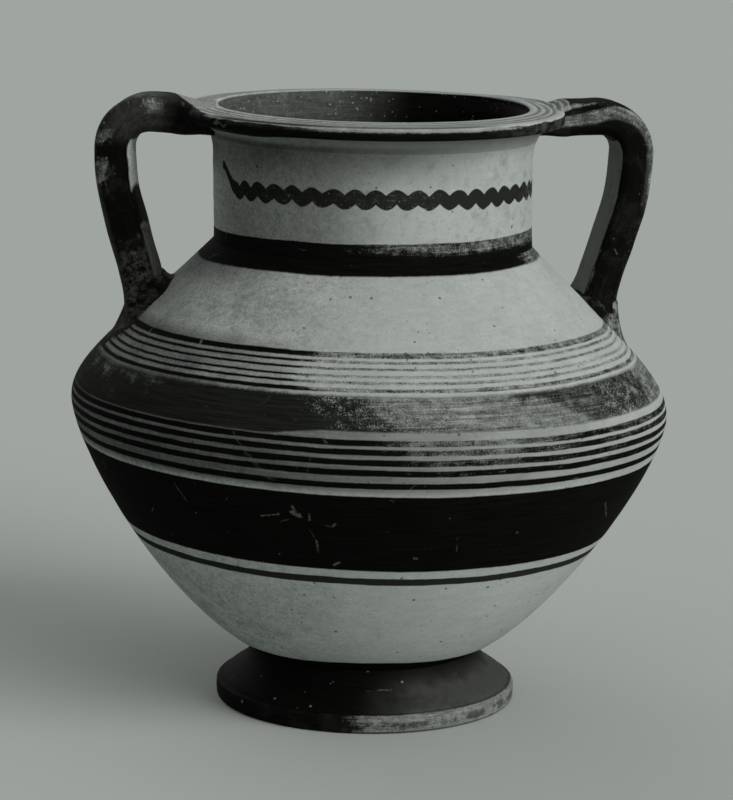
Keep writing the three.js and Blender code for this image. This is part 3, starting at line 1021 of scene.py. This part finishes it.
def rim_finish(name):
    """Bare ledge with thin painted rings, a dark lip rubbed along its upper edge, a dark wash inside."""
    net = Finish(name, "ledge")
    around, radius = net.spot["Around"], net.spot["Radius"]
    x, y, z = net.parts(net.scaled(net.at, 1 / MM))
    z = z - (x * RIM_TIP[0] + y * RIM_TIP[1] + RIM_LIFT / MM)
    clay = net.clay(0.2)
    wobble = net.noise(net.wheel(net.at, 9, 40), 1, 2) - 0.5
    out = radius + wobble * 0.8
    ledge = net.step(z, 300.6, 301.2)
    rings = net.most(*[net.line(*ring, out) for ring in LEDGE_RINGS]) * net.kept(0.25) * ledge * 0.62

    left_lap = net.step(out - net.step(around, -84, -60, 86.6, 93.4), -0.5, 0.5)
    left_lap = left_lap * net.window(around, -92, -58, 3)
    right_lap = net.window(around, 92, 118, 5) * net.step(out, 91.0, 92.5)
    lapped = net.most(left_lap, right_lap) * net.step(z, 294, 296)

    lip_edge = net.step(z + wobble * 2.4, 300.9, 300.2)
    rubbed = net.window(around, -22, 45, 10) * net.step(z, 298.3, 300.3) * 0.6
    rubbed = rubbed + net.lay["Patch"] * net.step(z, 298, 300.5) * 0.2
    lip = lip_edge * net.step(z, 287.0, 287.6) * net.kept(rubbed)
    lip = lip * net.step(z - net.step(around, -42, -22, 292.8, 294.7), -0.5, 0.5)
    ledge_edge = net.step(out, 91.8, 92.6) * net.window(around, -54, 36, 9) * ledge
    ledge_edge = ledge_edge * net.step(around, -8, -24, 0.72, 0.92)
    edge_dark = net.most(ledge_edge, net.step(z, 301.4, 300.9) * lip_edge * 0.35)
    painted = net.most(rings, lip, lapped, edge_dark) * (1 - net.knocks(0.12))

    # painted shade under the lip and on the flare below the ledge
    under_lip_shade = net.soot() * net.step(z, 292, 289, 0.25, 1.0) * net.step(z, 299, 297)
    mottle = net.step(net.noise(net.at, 160, 4, 0.65), 0.40, 0.62)
    thin = net.most(net.step(around, 30, 66) * net.step(around, *RIGHT_FADE), net.step(z, 298, 300) * 0.6)
    thin = thin * (mottle * 0.65 + 0.1)
    paint = net.mix(thin, net.black(), net.paint(net.colours.inside_paint))
    tone = net.mix(painted, net.soiled(clay, under_lip_shade), paint)
    inside = net.step(radius, 78.2, 77.4) * net.step(z, 303.0, 302.2)
    tone = net.mix(inside, tone, net.wash(clay))
    return net.close(tone, net.dullness(painted), clay)


def foot_finish(name):
    """Dark foot whose upright edge is rubbed pale on one side."""
    net = Finish(name, "ledge")
    around, radius = net.spot["Around"], net.spot["Radius"]
    z = net.parts(net.at)[2] * (1 / MM)
    clay = net.clay(0.7)
    edge = net.step(radius, 74.6, 75.8)
    mottle = net.noise(net.at, 70, 5, 0.65)
    blotch = net.window(z + (mottle - 0.5) * 6, 3.0, 6.2, 0.8) * net.step(mottle, 0.42, 0.56)
    wear = edge * net.window(around, -5, 150, 7) * (0.50 - blotch * 0.24)
    shown = net.step(z, 0.1, 0.4) * net.step(radius, 46.0, 56.0)
    # painted shadow along the foot's bottom edge where it meets the floor
    painted_contact_shadow = net.window(z, 0.3, 1.3, 0.4) * edge * 0.85
    dots = net.specks(net.at, 9 * MM, 0.65 * MM, 0.28) * 0.6
    scars = net.most(net.knocks(0.14), dots)
    painted = net.most(net.kept(wear, 1.0, 1.0), painted_contact_shadow) * shown * (1 - scars)
    # thinner, greyer paint on the right of the foot's top, partly painted light on the side the lamp falls on
    thin = net.step(radius, 56, 66) * net.window(around, 14, 150, 20)
    thin = thin * net.step(mottle, 0.3, 0.62, 0.65, 1.30)
    thin_edge = edge * net.window(around, -52, -2, 14) * net.step(mottle, 0.36, 0.60) * 0.14
    paint = net.mix(net.most(thin, thin_edge), net.black(), (*net.colours.inside_paint, 1))
    tone = net.mix(painted, net.soiled(clay, edge * 0.35), paint)
    return net.close(tone, net.dullness(painted, 0.22), clay)


def handle_finish(name):
    """Dark straps, rubbed at the bend and along the arrises, bare on the inner face."""
    net = Finish(name, "strap")
    along, out, front = net.along, net.out, net.front
    clay = net.clay(0.6)
    waver = net.noise(net.at, 90, 3) - 0.5
    right = net.step(net.parts(net.at)[0], 0.0, 0.01)
    left = 1 - right
    patch = net.step(net.noise(net.at, 48, 5, 0.65), 0.46, 0.60)
    mottle = net.noise(net.vector("MULTIPLY", net.brush, (0.24, 0.24, 0.30)), 1, 5, 0.75)
    mottle = net.step(mottle, 0.34, 0.70)

    # Bare clay: the inner face, with a swipe of paint across the left one, and the ends on the ledge
    inner = net.step(out + waver * 0.12, -0.84, -0.92) * net.window(along + waver * 0.05, 0.33, 0.93, 0.01)
    swipe = net.window(along + waver * 0.06, 0.53, 0.66, 0.01) * left
    soiled_strip = left * net.step(along, 0.62, 0.68) * (mottle * 0.45 + 0.4)
    radius = net.spot["Radius"] + waver * 3
    left_end = left * net.step(radius + front * 6, 97.5, 95.5)
    right_end = right * net.step(radius, 99.4, 98.2)
    ledge_end = net.step(out + waver * 0.1, 0.66, 0.84) * net.most(left_end, right_end)
    rings = net.most(*[net.line(*ring, radius) for ring in STRAP_RINGS]) * right * 0.62
    bare = net.most(inner * (1 - swipe) * (1 - soiled_strip), ledge_end * (1 - rings))

    # Wear: blotches on the left bend, the left strap's outer edge, and the right strap's arrises and limb
    outer = net.step(out + waver * 0.5, -0.3, 0.3)
    blotch = net.step(net.noise(net.at, 85, 4, 0.65), 0.49, 0.57) * outer
    blotch = blotch * net.window(along, 0.15, 0.52, 0.04) * left
    edge_streak = net.step(out + waver * 0.4, 0.45, 0.85) * net.window(along, 0.44, 0.98, 0.05) * left
    low_arris = net.step(net.math("MINIMUM", 0 - out, front) + waver * 0.3, 0.72, 0.90)
    low_arris = low_arris * net.window(along + waver * 0.1, 0.74, 0.95, 0.04) * right
    flank = net.step(out + waver * 0.4, 0.1, 0.7) * net.window(along, 0.46, 0.80, 0.06) * right
    bend = net.window(along, 0.16, 0.46, 0.06) * left
    lower = net.window(along + waver * 0.2, 0.72, 0.99, 0.06) * (left * 0.7 + 0.3)
    limb = right * net.window(along, 0.03, 0.58, 0.05)
    arris = net.step(net.math("MINIMUM", out, net.size(front)) + waver * 0.3, 0.52, 0.84)
    higher = out + waver * 0.3 - net.step(along, 0.14, 0.40, 0.05, 0.80)
    belly = net.step(net.size(higher), 0.5, 0.2) * net.step(front, 0.5, 0.9) * limb
    belly = belly * net.step(along, 0.5, 0.36, 0.5, 1.0)
    dark_streak = 1 - net.window(higher, 0.42, 0.66, 0.08) * limb * 0.9
    wear = net.most(
        patch * bend * 0.2, blotch * 0.30, mottle * lower * 0.24, arris * limb * 0.42, arris * mottle * 0.2,
        low_arris * 0.42, belly * (mottle * 0.16 + 0.26)) * dark_streak
    painted = net.kept(wear, 1.0, 0.6) * (1 - bare) * (1 - net.knocks(0.16))

    # Thin paint, and painted shade and painted light on the clay where it lies bare
    greyed = left * net.window(along, 0.13, 0.36, 0.06) * (mottle * 0.25 + 0.42)
    rubbed = net.most(
        bend * patch, lower * mottle, belly * dark_streak, arris * mottle * 0.7, patch * 0.25, greyed,
        edge_streak * (mottle * 0.4 + 0.5), flank * mottle * 0.55, blotch)
    thin = rubbed + (net.lay["Grain"] - 0.5) * 0.4 + (net.lay["Streak"] - 0.5) * 0.2
    thin = net.step(thin, 0.1, 0.8) * 0.8
    paint = net.mix(thin, net.black(), (*net.colours.inside_paint, 1))
    # painted shade on the right strap's inner face and at both roots; the left strap's lower limb and its end
    # on the ledge are darker; painted light brightens the left strap's inner face near the bend
    painted_shade_and_light = net.most(
        inner * right * 0.56, net.step(along, 0.60, 0.68) * left * 0.55, ledge_end * left * 0.3,
        net.step(along, 0.80, 0.93) * 0.55) - inner * left * net.step(along, 0.60, 0.50) * 0.3
    tone = net.mix(painted, net.soiled(clay, painted_shade_and_light), paint)
    return net.close(tone, net.dullness(painted), clay, STRAP_RELIEF)


def root_finish(name):
    """Dark paint over smeared clay, rubbed at the front of the right root."""
    net = Finish(name)
    clay = net.clay(0.6)
    mottle = net.step(net.noise(net.at, 110, 4, 0.65), 0.42, 0.62)
    bare = net.window(net.spot["Around"] + mottle * 3, 88, 99, 2.5) * net.step(net.spot["Radius"], 117.5, 122)
    wear = net.most(bare * (mottle * 0.25 + 0.36), net.lay["Patch"] * 0.1)
    painted = net.kept(wear) * (1 - net.knocks(0.1))
    paint = net.mix(mottle * 0.6, net.black(), net.paint(net.colours.inside_paint))
    tone = net.mix(painted, net.soiled(clay, 0.3), paint)
    return net.close(tone, net.dullness(painted, 0.24), clay, STRAP_RELIEF)


# Handles

def handle_sides(handles):
    """Each handle's side, azimuth, bend, lean, twist, thickness, lap and web."""
    sizes = ("azimuth", "bend", "lean", "twist", "thickness", "lap", "web")
    for side in ("left", "right"):
        yield side, *(getattr(handles, side + "_" + size) for size in sizes)


def arc_points(centre, radius, angles):
    """Points on a circle in a strap's upright plane."""
    return [centre + Vector((cos(a), sin(a))) * radius for a in angles]


def strap_path(bend, lean, handles, outline):
    """A strap's places and ways in its upright plane, from inside the rim to the shoulder, and its foot."""
    radius, climb = handles.bend_radius, handles.climb
    centre = Vector(bend)
    swing = [(climb + pi / 2) * (1 - i / BEND_STEPS) for i in range(BEND_STEPS + 1)]
    nod = [-lean * i / EASE_STEPS for i in range(1, EASE_STEPS + 1)]
    hub = centre + Vector((radius - handles.ease_radius, 0))
    arc = arc_points(centre, radius, swing) + arc_points(hub, handles.ease_radius, nod)
    upper_way = Vector((cos(climb), sin(climb)))
    lower_way = Vector((-sin(lean), -cos(lean)))
    start_run = (arc[0].x - STRAP_START) / upper_way.x
    upper = [arc[0] - upper_way * start_run * (1 - i / UPPER_STEPS) for i in range(UPPER_STEPS)]
    far = arc[-1] + lower_way * STRAP_SEARCH
    foot = None
    for a, b in zip(outline, outline[1:]):
        foot = foot or intersect_line_line_2d(arc[-1], far, (a.x, a.z), (b.x, b.z))
    if foot is None:
        raise RuntimeError("the strap misses the shoulder")
    lower_run = (Vector(foot) - arc[-1]).length + STRAP_SINK
    lower = [arc[-1] + lower_way * lower_run * i / LOWER_STEPS for i in range(1, LOWER_STEPS + 1)]
    bent_ways = [Vector((sin(a), -cos(a))) for a in swing + nod]
    ways = [upper_way] * UPPER_STEPS + bent_ways + [lower_way] * LOWER_STEPS
    return upper + arc + lower, ways, Vector(foot)


def strap_section(place, gone, left, handles, thickness, lap, web):
    """Half width at the front and back, reach to the outer and inner face; `left` is the run to the foot."""
    rim = bpy.context.scene.krater_body.rim_radius
    thick = thickness + (handles.lower_thickness - thickness) * smooth(gone, *THICKENING)
    front = back = handles.width / 2
    outer = inner = thick / 2
    if gone < RIM_STRETCH:
        flush = RIM_TOP + lap[2] - place.y
        outer += (flush - outer) * smooth(place.x, lap[0], lap[1])
        inner -= smooth(place.x, *(rim + r for r in UNDERCUT_RADII)) * UNDERCUT
        spread = smooth(place.x, *(rim + r for r in WEB_RADII)) ** WEB_POWER
        front += spread * web
        back += spread * BACK_WEB
    at_root = min(max(0, 1 - left / ROOT_RUN), 1) ** 2
    wider, thicker = at_root * ROOT_WIDENING, at_root * ROOT_THICKENING
    return front + wider, back + wider, outer + thicker, inner + thicker


def strap(handles, outline, azimuth, bend, lean, twist, thickness, lap, web):
    """A strap with rounded edges, extruded ring by ring along its path."""
    places, ways, _ = strap_path(bend, lean, handles, outline)
    side = Vector((-sin(azimuth), cos(azimuth), 0))
    away = Vector((cos(azimuth), sin(azimuth), 0))
    up = Vector((0, 0, 1))
    bm = bmesh.new()
    layers = [bm.verts.layers.float.new(name) for name in ("along", "out", "front")]
    ring = bmesh.ops.create_circle(bm, segments=STRAP_FACES, radius=1)["verts"]
    corners = [[abs(c) ** STRAP_SQUARENESS * (1 if c > 0 else -1) for c in v.co.xy] for v in ring]
    loop = list({e for v in ring for e in v.link_edges})
    gone, total = 0, sum((b - a).length for a, b in zip(places, places[1:]))
    for i, (place, way) in enumerate(zip(places, ways)):
        if i:
            gone += (place - places[i - 1]).length
            new = bmesh.ops.extrude_edge_only(bm, edges=loop)["geom"]
            fresh = {item for item in new if isinstance(item, bmesh.types.BMVert)}
            ring = [next(e.other_vert(v) for e in v.link_edges if e.other_vert(v) in fresh) for v in ring]
            loop = [item for item in new if isinstance(item, bmesh.types.BMEdge) and set(item.verts) <= fresh]
        left = total - gone - STRAP_SINK
        front, back, outer, inner = strap_section(place, gone, left, handles, thickness, lap, web)
        out_way = Vector((-way.y, way.x))
        spot = place * STRAP_LUMPS_PER_METRE
        for v, (c, s) in zip(ring, corners):
            lump = noise.noise(Vector((spot.x + c, spot.y + s, azimuth))) * STRAP_LUMP
            r, z = place + out_way * ((outer if s > 0 else inner) * s + lump * s)
            forward = -c * side.y
            half = front if forward > 0 else back
            r += half * forward * tan(twist) * smooth(gone, *TWIST_RUN)
            v.co = tipped(away * r + up * z + side * (half * c + lump * c))
            for layer, value in zip(layers, (gone / total, s, forward)):
                v[layer] = value
    bmesh.ops.holes_fill(bm, edges=[e for e in bm.edges if e.is_boundary], sides=0)
    bmesh.ops.recalc_face_normals(bm, faces=bm.faces)
    return bm


def smear(azimuth, foot, lean, handles, outline):
    """Clay smeared from a strap's foot: a patch that lies on the shoulder and climbs the strap."""
    runs = [0]
    for a, b in zip(outline, outline[1:]):
        runs.append(runs[-1] + (b - a).length)
    nearest = min(range(len(outline)), key=lambda i: (outline[i].xz - foot).length)
    limb_out = Vector((cos(lean), -sin(lean)))
    limb_up = Vector((sin(lean), 0, cos(lean)))
    bm = bmesh.new()
    bmesh.ops.create_grid(bm, x_segments=SMEAR_STEPS, y_segments=SMEAR_STEPS, size=1)
    for v in bm.verts:
        run = runs[nearest] - v.co.x * SMEAR_HALF - SMEAR_SHIFT
        i = min(max(bisect_left(runs, run), 1), len(runs) - 1)
        share = (run - runs[i - 1]) / (runs[i] - runs[i - 1])
        spot = outline[i - 1].lerp(outline[i], share)
        slope = (outline[i] - outline[i - 1]).normalized()
        turn = v.co.y * SMEAR_HALF / spot.x

        # How far the point lies from the strap's section, and on which side of it
        a = Vector((spot.x * cos(turn) - foot.x, spot.z - foot.y)).dot(limb_out)
        b = spot.x * sin(turn)
        flat_a, flat_b = a / (handles.lower_thickness / 2), b / (handles.width / 2)
        grown = max((abs(flat_a) ** 4 + abs(flat_b) ** 4) ** 0.25, 1)
        off = Vector((a, b)).length
        outwards = (a / max(off, MM) + 1) / 2

        lump = noise.noise(Vector((b, a, 0)) * SMEAR_LUMPS_PER_METRE + Vector((0, 0, azimuth)))
        reach = handles.smear_reach * (SMEAR_BEHIND + (1 - SMEAR_BEHIND) * outwards ** 2)
        near = max(0, 1 - off * (1 - 1 / grown) / (reach * (1 + SMEAR_RAGGED * lump)))
        climbed = handles.smear_height * (SMEAR_BEHIND + (1 - SMEAR_BEHIND) * outwards) * near ** 3
        raised = SMEAR_LUMP * lump * near - SMEAR_SINK
        place = spot + limb_up * climbed + Vector((slope.z, 0, -slope.x)) * raised
        v.co = thrown(Matrix.Rotation(azimuth + turn, 3, "Z") @ place)
    bmesh.ops.recalc_face_normals(bm, faces=bm.faces)
    bmesh.ops.solidify(bm, geom=bm.faces[:], thickness=SMEAR_THICKNESS)
    bmesh.ops.recalc_face_normals(bm, faces=bm.faces)
    return bm


# Operators

class KRATER_OT_foot(bpy.types.Operator):
    """Turns the ring foot."""
    bl_idname = "krater.foot"
    bl_label = "Foot"

    def execute(self, context):
        sizes = context.scene.krater_body
        edge, height = sizes.foot_radius, sizes.foot_edge
        stem, top = sizes.stem_radius, FOOT_TOP + STEM_LAP
        rest, hollow = edge - REST_WIDTH, stem - STEM_WALL
        heel = (rest - HEEL[0], HEEL[1])
        low, high = (edge, FOOT_ROUND), (edge, height - FOOT_ROUND)
        shelf = (edge - FOOT_SHELF[0], height + FOOT_SHELF[1])
        slope = ((edge - SLOPE_OUTER[0], SLOPE_OUTER[1]), (stem - SLOPE_INNER[0], SLOPE_INNER[1]))
        roof = (hollow, top - HOLLOW_DROP)
        outline = joined(
            curve(5, (rest + REST_ROUND, 0), (rest, 0), heel)[::-1],
            curve(6, (edge - FOOT_ROUND, 0), (edge, 0), low),
            curve(4, low, (edge + EDGE_SWELL, height / 2), high),
            curve(6, high, (edge, height), shelf),
            curve(34, shelf, *slope, (stem, top)),
            curve(14, roof, (hollow, HOLLOW_TURN), heel))
        make_piece(settle(turned(outline[:-1])), "foot", foot_finish)
        return {"FINISHED"}


class KRATER_OT_lower_body(bpy.types.Operator):
    """Turns the bowl up to the widest ring."""
    bl_idname = "krater.lower_body"
    bl_label = "Lower body"

    def execute(self, context):
        sizes = context.scene.krater_body
        outer = bowl_outline(sizes)
        inner = inset_run(outer, sizes.body_wall)[::-1][::2]
        inner.append(Vector((0, 0, outer[0].z + sizes.body_wall)))
        bm = turned(joined(outer, inner), closed=False)
        make_piece(mark_inside(settle(bm)), "lower_body", body_finish)
        return {"FINISHED"}


class KRATER_OT_shoulder(bpy.types.Operator):
    """Turns the shoulder from the widest ring in to the neck."""
    bl_idname = "krater.shoulder"
    bl_label = "Shoulder"

    def execute(self, context):
        sizes = context.scene.krater_body
        outer = shoulder_outline(sizes)
        inner = inset_run(outer, sizes.body_wall)[::-1][::2]
        bm = turned(joined(outer, inner))
        make_piece(mark_inside(settle(bm)), "shoulder", body_finish)
        return {"FINISHED"}


class KRATER_OT_neck(bpy.types.Operator):
    """Turns the upright neck."""
    bl_idname = "krater.neck"
    bl_label = "Neck"

    def execute(self, context):
        sizes = context.scene.krater_body
        r, low, high = sizes.neck_radius, NECK_BASE + FILLET_RISE, RIM_BASE
        inner = r - sizes.neck_wall
        turn = high - NECK_TURN
        outline = joined(
            curve(36, (r, low), (r - NECK_WAIST, low * 0.6 + turn * 0.4), (r, turn)),
            curve(10, (r, turn), (r + NECK_PULL[0], high - NECK_PULL[1]), (r + RIM_FLARE, high)),
            curve(20, (inner, high), (inner, (low + high) / 2), (inner, low)))
        make_piece(settle(turned(outline)), "neck", neck_finish)
        return {"FINISHED"}


class KRATER_OT_rim(bpy.types.Operator):
    """Turns the ledge rim with its lip."""
    bl_idname = "krater.rim"
    bl_label = "Rim"

    def execute(self, context):
        sizes = context.scene.krater_body
        neck, lip = sizes.neck_radius, sizes.rim_radius
        under, ledge = RIM_TOP - LIP_DROP, RIM_TOP - LEDGE_FALL
        mouth, throat = lip - sizes.ledge_width, neck - sizes.neck_wall
        flare = (neck + FLARE_PULL[0], RIM_BASE + FLARE_PULL[1])
        below, above = (lip - LIP_ROUND, under), (lip - LIP_ROUND, ledge)
        low, high = (lip, under + LIP_ROUND), (lip, ledge - LIP_ROUND)
        brink = (mouth + BRINK_ROUND, RIM_TOP)
        edge = (mouth - MOUTH_EDGE[0], RIM_TOP - MOUTH_EDGE[1])
        outline = joined(
            curve(16, (neck + RIM_FLARE, RIM_BASE), flare, below),
            curve(6, below, (lip, under), low),
            curve(6, low, (lip + EDGE_SWELL, (under + ledge) / 2), high),
            curve(7, high, (lip, ledge), above),
            curve(14, above, (lip - LEDGE_DIP[0], ledge + LEDGE_DIP[1]), brink),
            curve(6, brink, (mouth, RIM_TOP), edge),
            curve(16, edge, (throat, RIM_BASE + THROAT_TURN), (throat, RIM_BASE)))
        make_piece(settle(turned(outline, RIM_FACES)), "rim", rim_finish)
        return {"FINISHED"}


class KRATER_OT_handles(bpy.types.Operator):
    """Bends the two strap handles from the rim to the shoulder."""
    bl_idname = "krater.handles"
    bl_label = "Handles"

    def execute(self, context):
        handles = context.scene.krater_handles
        outline = shoulder_outline(context.scene.krater_body)
        for side, *sizes in handle_sides(handles):
            bm = strap(handles, outline, *sizes)
            make_piece(bm, side + "_handle", handle_finish)
        return {"FINISHED"}


class KRATER_OT_roots(bpy.types.Operator):
    """Smears clay round the foot of each handle."""
    bl_idname = "krater.roots"
    bl_label = "Handle roots"

    def execute(self, context):
        handles = context.scene.krater_handles
        outline = shoulder_outline(context.scene.krater_body)
        for side, azimuth, bend, lean, *_ in handle_sides(handles):
            _, _, foot = strap_path(bend, lean, handles, outline)
            bm = smear(azimuth, foot, lean, handles, outline)
            make_piece(bm, side + "_root_wad", root_finish)
        return {"FINISHED"}


class KRATER_OT_stage(bpy.types.Operator):
    """Sets the camera, the floor and the soft light."""
    bl_idname = "krater.stage"
    bl_label = "Stage"

    def execute(self, context):
        scene = context.scene
        stage = scene.krater_stage
        scene.view_settings.view_transform = "Standard"
        camera = bpy.data.objects.new("camera", bpy.data.cameras.new("camera"))
        camera.data.lens, camera.data.sensor_width = LENS, SENSOR
        view = Matrix.Translation(CAMERA_PLACE)
        for degrees, axis in ((CAMERA_TURN, "Z"), (90 - CAMERA_FALL, "X"), (CAMERA_ROLL, "Z")):
            view = view @ Matrix.Rotation(radians(degrees), 4, axis)
        camera.matrix_world = view
        scene.collection.objects.link(camera)
        scene.camera = camera

        for name, energy, (azimuth, rise) in (("key", stage.key, KEY_WAY), ("back", stage.back, BACK_WAY)):
            sun = bpy.data.objects.new(name, bpy.data.lights.new(name, "SUN"))
            sun.data.energy, sun.data.angle = energy, radians(LAMP_SPREAD)
            tilt = Vector((0, -cos(radians(rise)), sin(radians(rise))))
            way = Matrix.Rotation(radians(azimuth), 3, "Z") @ tilt
            sun.rotation_euler = way.to_track_quat("Z", "Y").to_euler()
            scene.collection.objects.link(sun)

        bm = bmesh.new()
        bmesh.ops.create_circle(bm, cap_ends=True, segments=96, radius=FLOOR_RADIUS)
        mesh = bpy.data.meshes.new("floor")
        bm.to_mesh(mesh)
        bm.free()
        paper = bpy.data.materials.new("floor_paper")
        paper.use_nodes = True
        shader = paper.node_tree.nodes["Principled BSDF"]
        shader.inputs["Base Color"].default_value = (*stage.floor, 1)
        shader.inputs["Roughness"].default_value = FLOOR_ROUGHNESS
        shader.inputs["Specular IOR Level"].default_value = 0
        mesh.materials.append(paper)
        floor = bpy.data.objects.new("floor", mesh)
        scene.collection.objects.link(floor)

        world = bpy.data.worlds.new("room")
        world.use_nodes = True
        world.node_tree.nodes.clear()
        scene.world = world
        net = Net(world.node_tree)
        path = net.add("ShaderNodeLightPath")
        rays = ("Is Camera Ray", "Is Glossy Ray", "Is Transmission Ray")
        seen = net.most(*[net.wire(path, ray) for ray in rays])
        up = net.parts(net.wire(net.add("ShaderNodeTexCoord"), "Generated"))[2]
        level = net.step(up, -0.1, 1, stage.horizon, stage.sky)
        room = net.combine(*[level * share for share in SKY_TINT])
        wall = (*(WALL_SHARE * c for c in stage.floor), 1)
        background = net.add("ShaderNodeBackground", {"Color": net.mix(seen, room, wall)})
        net.add("ShaderNodeOutputWorld", {"Surface": net.wire(background)})
        return {"FINISHED"}


class KRATER_PT_panel(bpy.types.Panel):
    """The krater's pieces and sizes."""
    bl_idname = "KRATER_PT_panel"
    bl_label = "Amphora krater"
    bl_space_type = "VIEW_3D"
    bl_region_type = "UI"
    bl_category = "Krater"

    def draw(self, context):
        for operator in OPERATORS:
            self.layout.operator(operator.bl_idname)
        for name, group in GROUPS.items():
            box = self.layout.box()
            box.label(text=group.__doc__)
            for prop in group.__annotations__:
                box.prop(getattr(context.scene, name), prop)


GROUPS = {
    "krater_body": KraterBody,
    "krater_handles": KraterHandles,
    "krater_finish": KraterFinish,
    "krater_stage": KraterStage,
}
OPERATORS = (
    KRATER_OT_foot,
    KRATER_OT_lower_body,
    KRATER_OT_shoulder,
    KRATER_OT_neck,
    KRATER_OT_rim,
    KRATER_OT_handles,
    KRATER_OT_roots,
    KRATER_OT_stage,
)


def register():
    """Registers the classes and hangs the sizes on the scene."""
    for cls in (*GROUPS.values(), *OPERATORS, KRATER_PT_panel):
        bpy.utils.register_class(cls)
    for name, group in GROUPS.items():
        setattr(bpy.types.Scene, name, PointerProperty(type=group))


def unregister():
    """Takes the sizes and the classes away again."""
    for name in GROUPS:
        delattr(bpy.types.Scene, name)
    for cls in (KRATER_PT_panel, *reversed(OPERATORS), *reversed(GROUPS.values())):
        bpy.utils.unregister_class(cls)


def main():
    """Builds the vessel piece by piece, then the stage."""
    register()
    bpy.ops.krater.foot()
    bpy.ops.krater.lower_body()
    bpy.ops.krater.shoulder()
    bpy.ops.krater.neck()
    bpy.ops.krater.rim()
    bpy.ops.krater.handles()
    bpy.ops.krater.roots()
    bpy.ops.krater.stage()


if __name__ == "__main__":
    main()
